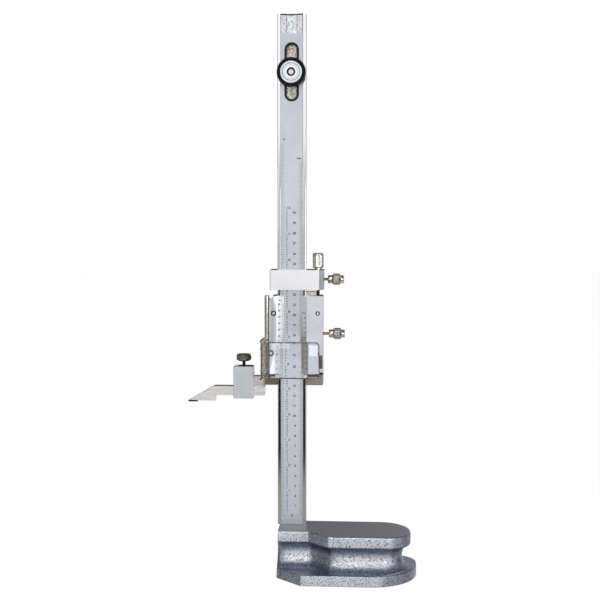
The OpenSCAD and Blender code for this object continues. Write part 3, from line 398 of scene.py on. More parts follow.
def column_metal(name):
    """Polished lips, sides and back, and a coarse ground channel with a line of painted shade at each step
    and darker, browner painted shade in the slot behind the scale.
    """
    made, tree, shader, _, coords = new_material(name)
    x, y, z = tree.xyz(coords)
    across = tree.absolute(x)
    channel = tree.times(tree.span(across, CHANNEL_SIDE + 0.00005, CHANNEL_SIDE), tree.span(y, 0.0, -0.001))
    keyway = tree.times(channel, tree.span(across, KEYWAY_SIDE + 0.0001, KEYWAY_SIDE - 0.00005))
    slot = tree.times(keyway, tree.span(z, KEYWAY_TOP, KEYWAY_TOP - 0.0005))
    grain_value = tree.noise(coords, 900, (1, 1, 0.05))
    mottle = tree.noise(coords, 620, (1, 1, 0.8), 5.0, 0.75)
    bright = tree.mix(tree.spread(grain_value), lin("#f4f4f4"), lin("#fbfbfb"))
    ground = tree.mix(tree.span(mottle, 0.35, 0.62), lin("#a7a9ad"), lin("#eeeff1"))
    # Painted shade: the keyway behind the slot is darker and browner
    keyway_painted_shade = tree.mix(tree.span(mottle, 0.4, 0.62), lin("#847e78"), lin("#e2ded9"))
    ground = tree.mix(slot, ground, keyway_painted_shade)
    for place, half, shade in CHANNEL_SHADE_LINES:
        off = tree.absolute(tree.minus(x, place))
        ground = tree.mix(tree.span(off, half + 0.0001, half), ground, lin(shade))
    end = tree.span(z, cad_high[2] - 0.0014, cad_high[2] - 0.0012)
    ground = tree.mix(end, ground, lin("#2d2a2a"))
    tree.put(shader, "Base Color", tree.mix(channel, bright, ground))
    shader.inputs["Metallic"].default_value = 1.0
    tree.put(shader, "Roughness", tree.plus(0.05, tree.times(channel, 0.28)))
    tree.bump(shader, mottle, tree.plus(0.005, tree.times(keyway, 0.5)), 0.0006)
    return made


def screw_metal(name):
    """Small countersunk heads: painted shade round the rim, bright in the middle."""
    made, tree, shader, _, coords = new_material(name)
    parts = tree.xyz(coords)
    low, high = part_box("vernier_screws")
    offsets = []
    for axis in (0, 2):
        middle, spread = (low[axis] + high[axis]) / 2, (high[axis] - low[axis]) / 2 - VERNIER_HEAD
        offsets.append(tree.minus(tree.absolute(tree.minus(parts[axis], middle)), spread))
    grain_value = tree.noise(coords, 1500, (1, 1, 1), 3.0)
    rim = tree.span(tree.distance(*offsets), 0.0011, 0.0015)
    bright = tree.mix(tree.spread(grain_value), lin("#cfc6b6"), lin("#fbf8f0"))
    tree.put(shader, "Base Color", tree.mix(rim, bright, lin("#322b22")))
    shader.inputs["Metallic"].default_value = 1.0
    tree.put(shader, "Roughness", tree.spread(grain_value, 0.16, 0.3))
    tree.bump(shader, grain_value, 0.15, 0.0003)
    return made


def lens_glass(name):
    """Slightly grey glass that lets the light through to what lies behind it."""
    made, tree, shader, out, coords = new_material(name)
    shader.inputs["Base Color"].default_value = (0.86, 0.87, 0.885, 1.0)
    shader.inputs["Transmission Weight"].default_value = 1.0
    shader.inputs["IOR"].default_value = 1.5
    haze = tree.noise(coords, 700, (1, 1, 1), 2.0)
    tree.put(shader, "Roughness", tree.spread(haze, 0.0, 0.012))
    clear = tree.add("ShaderNodeBsdfTransparent", {0: (0.94, 0.96, 0.98, 1.0)})
    path = tree.add("ShaderNodeLightPath")
    mixed = tree.add("ShaderNodeMixShader", {0: path.outputs["Is Shadow Ray"], 1: shader.outputs[0],
                                             2: clear.outputs[0]})
    tree.put(out, "Surface", mixed.outputs[0])
    return made


# How the grain is drawn out
ALONG_Z = (1, 1, 0.04)
ALONG_X = (0.04, 1, 1)
ROUND_X = (0.15, 1, 1)


def satin(name, colour, rough, grain_scale, **more):
    """Satin chrome, with an even fine grain."""
    settings = {"rough_vary": 0.04, "bump": 0.05, **more}
    return metal(name, colour, rough, grain_scale=grain_scale, **settings)


MATERIALS = {
    "base_paint": hammered("hammered_paint"),
    "column_steel": column_metal("column_steel"),
    "black_screw": dull("black_screw", "#1c1c1e", 0.35),
    "stud_steel": metal("stud_steel", "#d8d8da", 0.16),
    "scale_steel": satin("scale_satin", "#c4c6ce", 0.36, 1300, vary=0.05, cloud=0.03, tint=scale_tint),
    "liner_black": dull("liner_black", "#1d1a1c", 0.4, vary=0.3, specular=0.25),
    "washer_steel": metal("washer_steel", "#b8b8ba", 0.3),
    "knob_black": dull("knob_black", "#0a0a0b", 0.38, 2500, vary=0.2, bump=0.05, specular=0.14),
    "cap_steel": satin("cap_steel", "#f4f5f8", 0.28, 1800, vary=0.04, rough_vary=0.05, bump=0.04,
                       tint=ring_tint),
    "clamp_steel": satin("clamp_satin", "#ececee", 0.34, 1100, vary=0.03, bump=0.04, cloud=0.02, top=0.1,
                         tint=clamp_tint),
    "brass": metal("brass", "#c8a860", 0.3),
    "thumb_screw_steel": metal("thumb_screw_steel", "#cbc6bd", 0.12, ROUND_X, vary=0.08, rough_vary=0.03,
                               bump=0.005, tint=knurl_tint),
    "fine_knob_chrome": metal("fine_knob_chrome", "#c4beb6", 0.16, ALONG_Z, vary=0.05, rough_vary=0.04,
                              bump=0.0),
    "spindle_black": dull("spindle_black", "#1a1a1b", 0.3),
    "slider_steel": satin("slider_satin", "#d4d3d6", 0.3, 1100, vary=0.05, rough_vary=0.05, top=0.1,
                          tint=jaw_tint),
    "inch_vernier_steel": satin("inch_vernier_satin", "#cfd2d9", 0.33, 1300, vary=0.05, cloud=0.03,
                                tint=inch_tint),
    "mm_vernier_steel": satin("mm_vernier_satin", "#d8dae2", 0.33, 1300, vary=0.05, cloud=0.03,
                              tint=mm_tint),
    "vernier_screw_steel": screw_metal("vernier_screw_steel"),
    "gib_steel": metal("gib_steel", "#cfc6b6", 0.28, grain_scale=600, vary=0.14, rough_vary=0.08, bump=0.2,
                       cloud=0.12),
    "rod_chrome": metal("rod_chrome", "#d2cec6", 0.1, ALONG_Z, 600, vary=0.03, rough_vary=0.02, bump=0.0),
    "holder_steel": metal("holder_chrome", "#a09480", 0.14, grain_scale=700, vary=0.08, rough_vary=0.05,
                          cloud=0.08, tint=clip_tint),
    "lens_frame_steel": metal("lens_frame_chrome", "#a89c88", 0.12, grain_scale=700, vary=0.08,
                              rough_vary=0.05, cloud=0.08),
    "rivet_steel": metal("rivet_steel", "#d8d6d0", 0.15),
    "lens_glass": lens_glass("lens_glass"),
    "box_steel": satin("box_satin", "#d9dbdf", 0.33, 1200, vary=0.05, cloud=0.04, top=0.1, tint=box_tint),
    "box_screw_black": dull("box_screw_black", "#131313", 0.35),
    "box_knob_chrome": metal("box_knob_chrome", "#7d766b", 0.17, ALONG_Z, vary=0.1, rough_vary=0.05,
                             bump=0.04),
    "scriber_steel": metal("scriber_ground", "#f2f0ee", 0.28, ALONG_X, 1300, rough_vary=0.05, bump=0.04,
                           cloud=0.02, top=0.08),
    "carbide": dull("carbide", "#17171a", 0.28, 2000),
}
ink = dull("ink", "#17171c", 0.5, 3000, vary=0.1, bump=0.02)

slots = {row["node"]: row["material_slot"] for row in frame["record"]["subparts"]}
for node_name, node in NODES.items():
    node.data.materials.clear()
    node.data.materials.append(MATERIALS[slots[node_name]])


# Soft edges on the carried-over nodes


SMOOTH_BELOW = math.radians(28)
FLAT_BELOW = math.radians(0.5)
ROUND_ABOVE = math.radians(30)


def smooth_group():
    """A node group that shades faces smooth and keeps edges over the angle sharp."""
    group = bpy.data.node_groups.new("smooth_by_angle", "GeometryNodeTree")
    group.interface.new_socket("Geometry", in_out="INPUT", socket_type="NodeSocketGeometry")
    group.interface.new_socket("Geometry", in_out="OUTPUT", socket_type="NodeSocketGeometry")
    tree = Tree(group)
    start = tree.add("NodeGroupInput")
    drop = tree.add("GeometryNodeRemoveAttribute",
                    {"Geometry": start.outputs[0], "Name": "custom_normal"})
    angle = tree.add("GeometryNodeInputMeshEdgeAngle")
    soft = tree.add("FunctionNodeCompare", {0: angle.outputs[0], 1: SMOOTH_BELOW},
                    data_type="FLOAT", operation="LESS_THAN")
    faces = tree.add("GeometryNodeSetShadeSmooth", {"Geometry": drop.outputs[0], "Shade Smooth": True},
                     domain="FACE")
    edges = tree.add("GeometryNodeSetShadeSmooth",
                     {"Geometry": faces.outputs[0], "Shade Smooth": soft.outputs[0]}, domain="EDGE")
    tree.add("NodeGroupOutput", {0: edges.outputs[0]})
    return group


SMOOTH = smooth_group()
EDGE_ROUND = {  # in millimetres
    "base_casting": 0.25, "column": 0.2, "fine_clamp_block": 0.3, "slider_frame": 0.25, "gib": 0.2,
    "inch_vernier": 0.08, "mm_vernier": 0.08, "vernier_screws": 0.08, "magnifier_holder": 0.15,
    "magnifier_frame": 0.15, "scriber_clamp_box": 0.3, "scriber_blade": 0.18, "main_scale": 0.1,
    "scale_slot_liner": 0.15, "zero_lock_cap": 0.12}
for node_name, node in NODES.items():
    weld = node.modifiers.new("weld", "WELD")
    weld.merge_threshold = 0.000002
    if node_name in EDGE_ROUND:
        flat = node.modifiers.new("flat", "DECIMATE")
        flat.decimate_type = "DISSOLVE"
        flat.angle_limit = FLAT_BELOW
        bevel = node.modifiers.new("bevel", "BEVEL")
        bevel.width = EDGE_ROUND[node_name] * MM
        bevel.segments = 2
        bevel.limit_method = "ANGLE"
        bevel.angle_limit = ROUND_ABOVE
    shade = node.modifiers.new("shade", "NODES")
    shade.node_group = SMOOTH
    if node_name in EDGE_ROUND:
        weighted = node.modifiers.new("weighted", "WEIGHTED_NORMAL")
        weighted.keep_sharp = True


# Pieces made in mesh code


def piece(name, verts, faces, body, slot, angle, material=None, replaced=None):
    """A mesh from millimetres that rides on a body. Edges over the angle stay sharp."""
    mesh = bpy.data.meshes.new(name)
    mesh.from_pydata([tuple(float(c) * MM for c in v) for v in verts], [], [tuple(f) for f in faces])
    mesh.validate()
    mesh.shade_smooth()
    mesh.set_sharp_from_angle(angle=math.radians(angle))
    mesh.materials.append(material or MATERIALS[slot])
    made = bpy.data.objects.new(name, mesh)
    bpy.context.scene.collection.objects.link(made)
    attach(made, body)
    if replaced:
        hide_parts(replaced)


def lathe(profile, steps, place, wave=None, closed_ends=True):
    """Turns a profile of (radius, length) round an axis. place(u, v, w) puts a local point, with w along
    the axis, and wave(radius, angle, length) may change the radius."""
    verts, faces = [], []
    rows = len(profile)
    for r, w in profile:
        for i in range(steps):
            a = 2 * math.pi * i / steps
            q = r if wave is None else wave(r, a, w)
            verts.append(place(q * math.cos(a), q * math.sin(a), w))
    for j in range(rows - 1):
        for i in range(steps):
            k = (i + 1) % steps
            faces.append((j * steps + i, j * steps + k, (j + 1) * steps + k, (j + 1) * steps + i))
    if closed_ends:
        faces.append(tuple(range(steps - 1, -1, -1)))
        faces.append(tuple((rows - 1) * steps + i for i in range(steps)))
    return verts, faces


def join(*parts):
    verts, faces = [], []
    for v, f in parts:
        shift = len(verts)
        verts += v
        faces += [tuple(i + shift for i in face) for face in f]
    return verts, faces


def along_x(x, y, z):
    return lambda u, v, w: (x + w, y + u, z + v)


def along_z(x, y, z):
    return lambda u, v, w: (x + u, y + v, z + w)


def to_back(x, y, z):
    return lambda u, v, w: (x + u, y + w, z - v)


def tooth(turns):
    """A triangle wave with one tooth for each turn: 1 in the groove, 0 on the crest."""
    return abs(turns % 1 - 0.5) * 2


def knurl(teeth, depth, low, high, slant=0.0, fade=0.4, outside=0.0):
    """A knurl between two lengths: two sets of grooves of that depth, crossed where they slant. Rows with
    a radius up to outside stay plain."""

    def wave(r, a, w):
        if r <= outside or w < low or w > high:
            return r
        edge = min(1.0, (w - low) / fade, (high - w) / fade)
        turn, place = slant * (w - low), teeth * a / (2 * math.pi)
        return r - depth * max(0.0, edge) * max(tooth(place + turn), tooth(place - turn))

    return wave


def levels(*stops):
    """Profile rows of (radius, length) from stops of (radius, length, rows up to here)."""
    rows = [(stops[0][0], stops[0][1])]
    for (r0, w0, _), (r1, w1, n) in zip(stops, stops[1:]):
        rows += [(r0 + (r1 - r0) * i / n, w0 + (w1 - w0) * i / n) for i in range(1, n + 1)]
    return rows


def measure(node):
    """The middle, low and high corner of a CAD node in millimetres."""
    low, high = ([v / MM for v in corner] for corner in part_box(node))
    return [(a + b) / 2 for a, b in zip(low, high)], low, high


def thumb_screw(name, node, body):
    """Shank with a fine thread, collar, crossed knurl with sloping ends, collar."""
    (_, cy, cz), low, high = measure(node)
    head_length, shank, collar, drum = 15.6, 1.48, 4.08, 5.68
    pitch, thread_depth = 0.5, 0.16
    length = high[0] - low[0]
    start = length - head_length
    drum_start, drum_end = start + 5.6, start + 11.2
    profile = levels(
        (1.3, 0, 0), (shank, 0.2, 1), (shank, start, 130), (3.9, start, 1), (collar, start + 0.2, 1),
        (collar, start + 4.1, 1), (4.3, start + 4.2, 1), (5.6, start + 5.5, 3), (drum, drum_start, 1),
        (drum, drum_end, 22), (5.6, start + 11.3, 1), (4.3, start + 12.5, 3), (collar, start + 12.6, 1),
        (collar, length - 0.3, 1), (3.8, length, 1), (1.2, length, 1), (1.0, length - 0.3, 1))
    cross = knurl(36, 0.34, drum_start, drum_end, 0.62)

    def wave(r, a, w):
        if 0.3 < w < start - 0.2 and r < 2:
            return r - thread_depth * tooth(w / pitch - a / (2 * math.pi))
        return cross(r, a, w)

    verts, faces = lathe(profile, 216, along_x(low[0], cy, cz), wave)
    piece(name, verts, faces, body, "thumb_screw_steel", 50, replaced=node)


def lock_ring():
    """Black ring with fine teeth round it, hollowed for the steel disc."""
    (cx, _, cz), low, high = measure("zero_lock_knob")
    depth = high[1] - low[1]
    profile = levels(
        (10.72, 3.55, 0), (10.72, 0.25, 2), (11.0, 0.05, 1), (13.2, 0.0, 2), (13.9, 0.3, 2), (14.25, 0.8, 2),
        (14.28, 1.2, 1), (14.28, depth - 1.2, 14), (14.1, depth - 0.6, 2), (13.4, depth, 1),
        (2.6, depth, 4), (2.6, 3.6, 3), (10.6, 3.6, 3))
    verts, faces = lathe(profile + [profile[0]], 464, to_back(cx, low[1], cz),
                         knurl(38, 1.0, 0.2, depth - 0.3, fade=0.5, outside=13), False)
    piece("zero_lock_ring_teeth", verts, faces, "zero_lock", "knob_black", 40, replaced="zero_lock_knob")


def fine_knob():
    """Polished knob on a narrow neck, with a straight knurl."""
    (cx, cy, _), low, high = measure("fine_adjust_knob")
    height = high[2] - low[2]
    profile = levels(
        (1.86, 0.0, 0), (3.4, 0.0, 1), (3.5, 0.1, 1), (3.5, 1.6, 2), (4.7, 1.7, 1), (5.2, 2.1, 2),
        (5.28, 2.6, 1), (5.28, height - 0.9, 30), (5.15, height - 0.4, 2), (4.6, height, 2),
        (1.0, height, 3), (0.9, height - 0.1, 1))
    verts, faces = lathe(profile, 240, along_z(cx, cy, low[2]),
                         knurl(30, 0.2, 3.0, height - 1.2, fade=0.8, outside=5))
    piece("fine_knob_knurled", verts, faces, "fine_adjuster", "fine_knob_chrome", 40,
          replaced="fine_adjust_knob")


def box_knob():
    """Flat knob with a crossed knurl and rounded edges."""
    (cx, cy, _), low, high = measure("scriber_clamp_knob")
    height = high[2] - low[2]
    profile = levels(
        (1.75, 3.9, 0), (1.75, 0.1, 2), (2.0, 0.0, 1), (5.6, 0.0, 2), (6.9, 0.9, 3), (7.3, 1.3, 1),
        (7.32, 1.5, 1), (7.32, height - 1.3, 22), (7.28, height - 1.1, 1), (6.5, height - 0.15, 3),
        (6.2, height, 1), (0.6, height, 4), (0.5, height - 0.05, 1))
    verts, faces = lathe(profile, 264, along_z(cx, cy, low[2]),
                         knurl(44, 0.36, 1.5, height - 1.3, 0.55, outside=7))
    piece("scriber_knob_knurled", verts, faces, "scriber_clamp_screw", "box_knob_chrome", 40,
          replaced="scriber_clamp_knob")


def threaded(name, node, body, slot, radius, collar=None):
    """A rod with a helical thread, and a plain collar, as (radius, start, height), where the CAD rod has
    one."""
    (cx, cy, _), low, high = measure(node)
    length = high[2] - low[2]
    pitch, depth, end, rows_a_turn = 0.7, 0.3, 0.25, 8
    crest, foot = radius - 0.02, radius - 0.25
    profile = levels((foot, 0, 0), (crest, end, 1), (crest, length - end, int(length / pitch * rows_a_turn)),
                     (foot, length, 1))

    def wave(r, a, w):
        if w < 0.3 or w > length - 0.3:
            return r
        return r - depth * tooth(w / pitch - a / (2 * math.pi))

    verts, faces = lathe(profile, 40, along_z(cx, cy, low[2]), wave)
    if collar:
        r, start, height = collar
        ring = levels((r - 0.15, start, 0), (r, start + 0.15, 1), (r, start + height - 0.15, 1),
                      (r - 0.15, start + height, 1))
        verts, faces = join((verts, faces), lathe(ring, 64, along_z(cx, cy, low[2])))
    piece(name, verts, faces, body, slot, 60, replaced=node)


def lens():
    """A plano-convex lens with round corners, as one smooth closed mesh."""
    (cx, _, cz), low, high = measure("magnifier_lens")
    corner, radius = 3.05, 104.0
    half_w, half_h = (high[0] - low[0]) / 2, (high[2] - low[2]) / 2
    inner_w, inner_h = half_w - corner, half_h - corner
    front, back = low[1], high[1]
    rings, steps = 26, 160

    def edge_point(i):
        a = 2 * math.pi * i / steps
        c, s = math.cos(a), math.sin(a)
        t = min(half / max(abs(part), 1e-9) for half, part in ((half_w, c), (half_h, s)))
        x, z = c * t, s * t
        if abs(x) > inner_w and abs(z) > inner_h:
            mx, mz = math.copysign(inner_w, x), math.copysign(inner_h, z)
            b = mx * c + mz * s
            t = b + math.sqrt(max(0.0, b * b - (mx * mx + mz * mz - corner * corner)))
            x, z = c * t, s * t
        return x, z

    rim = [edge_point(i) for i in range(steps)]

    def dome(x, z):
        return front + radius - math.sqrt(radius * radius - x * x - z * z)

    verts, faces = [(cx, front, cz)], []
    for k in range(1, rings + 1):
        share = k / rings
        verts += [(cx + x * share, dome(x * share, z * share), cz + z * share) for x, z in rim]
    last = 1 + (rings - 1) * steps
    flat = len(verts)
    verts += [(cx + x, back, cz + z) for x, z in rim]
    for i in range(steps):
        j = (i + 1) % steps
        faces.append((0, 1 + i, 1 + j))
        for a in range(1, last, steps):
            b = a + steps
            faces.append((a + i, b + i, b + j, a + j))
    for i in range(steps):
        j = (i + 1) % steps
        faces.append((last + i, flat + i, flat + j, last + j))
    faces.append(tuple(flat + i for i in reversed(range(steps))))
    piece("magnifier_lens_ground", verts, faces, "magnifier", "lens_glass", 30, replaced="magnifier_lens")


SPINDLE_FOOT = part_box("fine_adjust_spindle")[0][2] / MM
COLLAR_FOOT = 280.8
thumb_screw("fine_clamp_screw_knurled", "fine_clamp_screw", "fine_clamp_screw")
thumb_screw("slider_lock_screw_knurled", "slider_lock_screw", "slider_lock")
lock_ring()
fine_knob()
box_knob()
threaded("fine_spindle_threaded", "fine_adjust_spindle", "fine_adjuster", "spindle_black", 1.8,
         (3.2, COLLAR_FOOT - SPINDLE_FOOT, 2.2))
threaded("scriber_screw_threaded", "scriber_clamp_screw", "scriber_clamp_screw", "box_screw_black", 1.7)
lens()


# Graduations, each a thin plate of ink that sits in its own face


class Face:
    """A drawing plane: u across, v up, with out pointing away from the metal. All in millimetres."""

    def __init__(self, origin, across, out):
        self.origin = Vector(origin)
        self.across = Vector(across).normalized()
        self.out = Vector(out).normalized()
        self.up = Vector((0, 0, 1))

    def at(self, u, v, h):
        return tuple(self.origin + self.across * u + self.up * v + self.out * h)


# How far the ink reaches into the metal and out of it, and how wide its lines are
INK_IN, INK_OUT = -0.04, 0.015
LINE = 0.2


def bar(face, u0, u1, v):
    """A level line of ink from u0 to u1 at height v, as a thin box."""
    v0, v1 = v - LINE / 2, v + LINE / 2
    corners = ((u0, v0), (u1, v0), (u1, v1), (u0, v1))
    verts = [face.at(u, v, h) for h in (INK_IN, INK_OUT) for u, v in corners]
    faces = [(0, 3, 2, 1), (4, 5, 6, 7), (0, 1, 5, 4), (1, 2, 6, 5), (2, 3, 7, 6), (3, 0, 4, 7)]
    return verts, faces


def glyphs(face, text, u, v, height, wide=1.0, bold=0.04):
    """Text as thin plates of ink, centred on (u, v). Much more than 0.05 of bold breaks the figures up."""
    curve = bpy.data.curves.new("glyphs", "FONT")
    curve.body = text
    curve.size = 1.0
    curve.resolution_u = 3
    curve.align_x, curve.align_y = "CENTER", "CENTER"
    curve.extrude = 0.5
    curve.offset = bold
    holder = bpy.data.objects.new("glyphs", curve)
    mesh = bpy.data.meshes.new_from_object(holder)
    co = np.array([p.co for p in mesh.vertices], float)
    low, high = co.min(0), co.max(0)
    scale = height / (high[1] - low[1])
    middle = (low + high) / 2
    verts = [face.at(u + (x - middle[0]) * scale * wide, v + (y - middle[1]) * scale,
                     INK_OUT if z > 0 else INK_IN) for x, y, z in co]
    faces = [tuple(p.vertices) for p in mesh.polygons]
    bpy.data.objects.remove(holder)
    bpy.data.curves.remove(curve)
    bpy.data.meshes.remove(mesh)
    return verts, faces


def ink_piece(name, parts, body, slot):
    piece(name, *join(*parts), body, slot, 20, material=ink)


# The zero of the strip above the table and the reading at rest, as the photograph shows them
ZERO = 56.0
READING = 148.4
INCH = 25.4


def ticks(face, edge, away, count, pitch, lengths, last, start=0.0):
    """Level ticks that start at an edge. lengths holds pairs of (every, length). The first pair whose
    number divides that of the tick gives its length, and last is for the rest."""
    parts = []
    for k in range(count):
        length = next((size for every, size in lengths if k % every == 0), last)
        u0, u1 = sorted((edge + away * start, edge + away * length))
        parts.append(bar(face, u0, u1, k * pitch))
    return parts


def scale_marks():
    """Inches at the strip's left and centimetres at its right."""
    face = Face((0, -6.0, ZERO), (1, 0, 0), (0, -1, 0))
    side, inch_end, mm_count = 10.5, 366.3, 350
    parts = ticks(face, -side, 1, int(inch_end / INCH * 20) + 1, INCH / 20,
                  ((20, 5.2), (10, 4.3), (2, 3.3)), 2.4)
    parts += ticks(face, side, -1, mm_count, 1, ((10, 4.6), (5, 3.9)), 2.9)
    parts += [glyphs(face, str(k), 2.5 if k > 9 else 3.2, k * 10, 2.4) for k in range(1, 31)]
    parts += [glyphs(face, str(k), -2.7, k * INCH, 2.5) for k in range(1, 13)]
    parts += [glyphs(face, str(k % 10), -4.8, k * INCH / 10, 1.45, 1.35, 0.045)
              for k in range(1, 120) if k % 10]
    parts.append(glyphs(face, "0", -0.1, 0, 2.5))
    parts.append(glyphs(face, "in", -7.6, 371.2, 1.8, 1.0, 0.05))
    parts.append(glyphs(face, "mm", 7.0, 352.4, 1.4, 1.15, 0.05))
    ink_piece("scale_graduations", parts, "main_scale", "scale_steel")


def vernier_marks():
    """Fifty divisions on each plate, over the length of forty-nine on the strip."""
    divisions, base = 50, ZERO + READING
    lengths, last = ((5, 3.6),), 2.4
    slope = Vector((6.6, 3.8, 0))
    left = Face((-14.1, -10.5, base), slope, (3.8, -6.6, 0))
    pitch = 49 * INCH / 20 / divisions
    parts = ticks(left, slope.length, -1, divisions + 1, pitch, lengths, last, 0.05)
    parts += [glyphs(left, str(k), 1.95, k * pitch, 1.8, 1.0, 0.045) for k in range(0, divisions + 1, 5)]
    parts.append(glyphs(left, ".001 in", 3.2, 66.2, 1.2))
    ink_piece("inch_vernier_graduations", parts, "slider", "inch_vernier_steel")
    slope = Vector((6.1, -3.8, 0))
    right = Face((8.6, -6.7, base), slope, (-3.8, -6.1, 0))
    pitch = 49 / divisions
    parts = ticks(right, 0.0, 1, divisions + 1, pitch, lengths, last, 0.05)
    parts += [glyphs(right, str(k // 5), slope.length - 1.5, k * pitch, 1.8, 1.0, 0.045)
              for k in range(0, divisions + 1, 5)]
    parts.append(glyphs(right, "0.02 mm", slope.length - 3.4, 53.8, 1.15))
    ink_piece("mm_vernier_graduations", parts, "slider", "mm_vernier_steel")


scale_marks()
vernier_marks()


# Floor, lights and camera


WHITE = (1, 1, 1, 1)


def grey(level, tint=(1, 1, 1)):
    return tuple(level * part for part in tint) + (1.0,)


def floor():
    """Pale paper: white to the camera where no shadow falls, and unseen in polished metal."""
    mesh = bpy.data.meshes.new("floor")
    half = 6.0
    mesh.from_pydata([(x * half, y * half, 0) for x, y in ((-1, -1), (1, -1), (1, 1), (-1, 1))], [],
                     [(0, 1, 2, 3)])
    made, tree, shader, out, coords = new_material("floor_paper")
    path = tree.add("ShaderNodeLightPath")
    seen = tree.math("MAXIMUM", path.outputs["Is Camera Ray"], path.outputs["Is Transmission Ray"])
    paper = tree.mix(tree.noise(coords, 3, (1, 1, 1), 2.0), grey(0.86), grey(0.9))
    tree.put(shader, "Base Color", tree.mix(seen, paper, grey(0.14)))
    shader.inputs["Roughness"].default_value = 0.9
    shader.inputs["Specular IOR Level"].default_value = 0.0
    glow = tree.add("ShaderNodeEmission", {0: WHITE, 1: tree.times(seen, 0.93)})
    both = tree.add("ShaderNodeAddShader", {0: shader.outputs[0], 1: glow.outputs[0]})
    tree.put(out, "Surface", both.outputs[0])
    mesh.materials.append(made)
    made_floor = bpy.data.objects.new("floor", mesh)
    made_floor.visible_glossy = False
    bpy.context.scene.collection.objects.link(made_floor)


BROWN, BLUE = (1.0, 0.93, 0.82), (0.8, 0.9, 1.25)
# What polished metal sees in each direction, as (height of the ray, tone) from below to above
CEILING = ((0.65, grey(0.2)), (1.0, grey(0.2)))
DOORWAY = (
    (-0.3, grey(0.5)), (-0.262, grey(0.33, BROWN)), (-0.226, grey(0.3, BROWN)), (-0.202, grey(0.012)),
    (-0.14, grey(0.012)), (-0.1, grey(0.05, BLUE)), (-0.066, grey(0.09, BLUE)), (-0.054, grey(0.5)),
    (0.02, grey(0.56)), (0.055, grey(0.95)), (0.08, grey(1.0)), (0.2, grey(1.0)))
FRONT = (
    (-1.0, grey(0.7)), (-0.6, grey(0.5)), (-0.35, grey(0.46)), (-0.24, grey(0.58)), (-0.14, grey(0.74)),
    (0.0, grey(0.8)), (0.06, grey(0.9)), (0.1, grey(1.1)), (0.14, grey(1.05)), (0.2, grey(0.8)),
    (0.5, grey(0.8)), (0.64, grey(0.2)), (1.0, grey(0.2)))
BACK = (
    (-1.0, grey(0.9)), (-0.3, grey(0.55)), (-0.14, grey(0.35, BROWN)), (-0.09, grey(0.04, BROWN)),
    (0.12, grey(0.04, BROWN)), (0.3, grey(0.4)), (1.0, grey(0.2)))
BESIDE = (
    (-1.0, grey(0.8)), (-0.5, grey(0.6)), (-0.3, grey(0.5)), (-0.24, grey(0.1, BROWN)),
    (0.0, grey(0.08, BROWN)), (0.14, grey(0.12, BROWN)), (0.24, grey(0.45)), (0.5, grey(0.5)), *CEILING)
LEFT = (
    (-1.0, grey(0.8)), (-0.3, grey(0.35)), (-0.1, grey(0.62)), (0.35, grey(0.62)), (0.5, grey(0.6)),
    *CEILING)
RIGHT = (
    (-1.0, grey(0.8)), (-0.3, grey(0.35)), (-0.1, grey(0.85)), (0.35, grey(0.85)), (0.5, grey(0.6)),
    *CEILING)


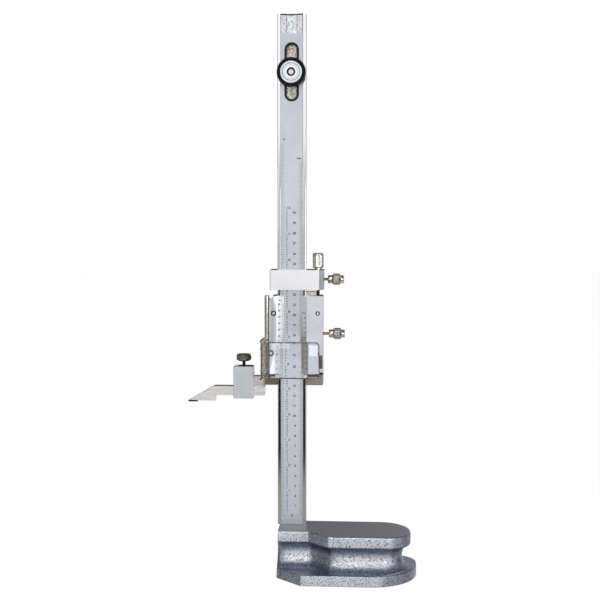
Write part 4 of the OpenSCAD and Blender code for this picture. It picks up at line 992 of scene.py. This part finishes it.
def world():
    """White to the camera. Polished metal sees a studio: pale floor and walls, a dark ceiling and doorway."""
    made = bpy.data.worlds.new("studio")
    bpy.context.scene.world = made
    made.use_nodes = True
    tree = Tree(made.node_tree)
    x, y, z = tree.xyz(tree.add("ShaderNodeTexCoord").outputs["Generated"])

    def heights(stops):
        """A ramp by the height of the ray."""
        low, high = stops[0][0], stops[-1][0]
        place = tree.span(z, low, high, smooth=False)
        return tree.ramp(place, [((height - low) / (high - low), tone) for height, tone in stops])

    doorway, front = heights(DOORWAY), heights(FRONT)
    back = tree.mix(tree.span(x, 0.005, 0.04), heights(BACK), grey(0.7))
    beside, right = heights(BESIDE), heights(RIGHT)
    left = tree.mix(1.0, heights(LEFT), tree.span(y, -0.45, -0.6, 1.0, 0.5), "MULTIPLY")
    slanting = tree.mix(tree.span(x, -0.1, 0.1), left, right)
    # The doorway is a little to the left of the front and ends below the ceiling
    inside = tree.times(tree.span(x, -0.107, -0.1), tree.span(x, -0.024, -0.031))
    inside = tree.times(inside, tree.span(z, 0.24, 0.2))
    ahead = tree.mix(inside, front, doorway)
    # Faces that slant see the walls, and those that look aside a darker band. The front reaches further
    # round at the right
    side = tree.mix(tree.span(y, -0.1, -0.3), beside, slanting)
    near = tree.mix(tree.span(y, -0.74, -0.9), side, ahead)
    far = tree.mix(tree.span(y, -0.5, -0.85), side, ahead)
    seen = tree.mix(tree.span(x, -0.1, 0.1), near, far)
    seen = tree.mix(tree.span(y, 0.45, 0.8), seen, back)
    # Rough surfaces are lit from above, and the camera sees white, also through the lens
    path = tree.add("ShaderNodeLightPath")
    soft = tree.mix(tree.span(z, 0.15, 0.95), grey(0.7), grey(0.3))
    colour = tree.mix(path.outputs["Is Glossy Ray"], soft, seen)
    direct = tree.math("MAXIMUM", path.outputs["Is Camera Ray"], path.outputs["Is Transmission Ray"])
    colour = tree.mix(direct, colour, WHITE)
    back_light = tree.add("ShaderNodeBackground", {0: colour, 1: 1.0})
    tree.add("ShaderNodeOutputWorld", {0: back_light.outputs[0]})


def area(name, place, aim, size, power):
    """A rectangular lamp that faces a point."""
    light = bpy.data.lights.new(name, "AREA")
    light.shape = "RECTANGLE"
    light.size, light.size_y = size
    light.energy = power
    made = bpy.data.objects.new(name, light)
    made.location = place
    made.rotation_mode = "QUATERNION"
    made.rotation_quaternion = (Vector(aim) - Vector(place)).to_track_quat("-Z", "Y")
    bpy.context.scene.collection.objects.link(made)


# Fitted to the photograph: its figures, level edges and circles
EYE = (0.0865, -1.1999, 0.3621)
AZIMUTH, PITCH = math.radians(3.76), math.radians(4.37)
FOCAL_PIXELS, PICTURE_PIXELS = 1225.57, 600
SENSOR = 36.0


def camera():
    data = bpy.data.cameras.new("camera")
    data.sensor_width = SENSOR
    data.lens = SENSOR * (FOCAL_PIXELS / PICTURE_PIXELS)
    data.clip_start, data.clip_end = 0.05, 50.0
    made = bpy.data.objects.new("camera", data)
    made.location = EYE
    ahead = Vector((-math.sin(AZIMUTH) * math.cos(PITCH), math.cos(AZIMUTH) * math.cos(PITCH),
                    -math.sin(PITCH)))
    made.rotation_mode = "QUATERNION"
    made.rotation_quaternion = ahead.to_track_quat("-Z", "Y")
    bpy.context.scene.collection.objects.link(made)
    bpy.context.scene.camera = made


floor()
world()
area("key", (-0.4, -1.7, 1.9), (0.02, 0, 0.1), (1.4, 0.7), 12.0)
area("fill", (1.8, -1.6, 0.6), (0, 0, 0.25), (1.2, 1.2), 5.0)
# Two small windows that show as bright patches in the lens
area("window_right", (0.346, -0.979, 0.288), (0.0238, -0.0347, 0.2242), (0.22, 0.22), 1.1)
area("window_left", (-0.342, -0.966, 0.376), (-0.0093, -0.0352, 0.2286), (0.38, 0.11), 0.5)
camera()
bpy.context.scene.view_settings.view_transform = "Standard"
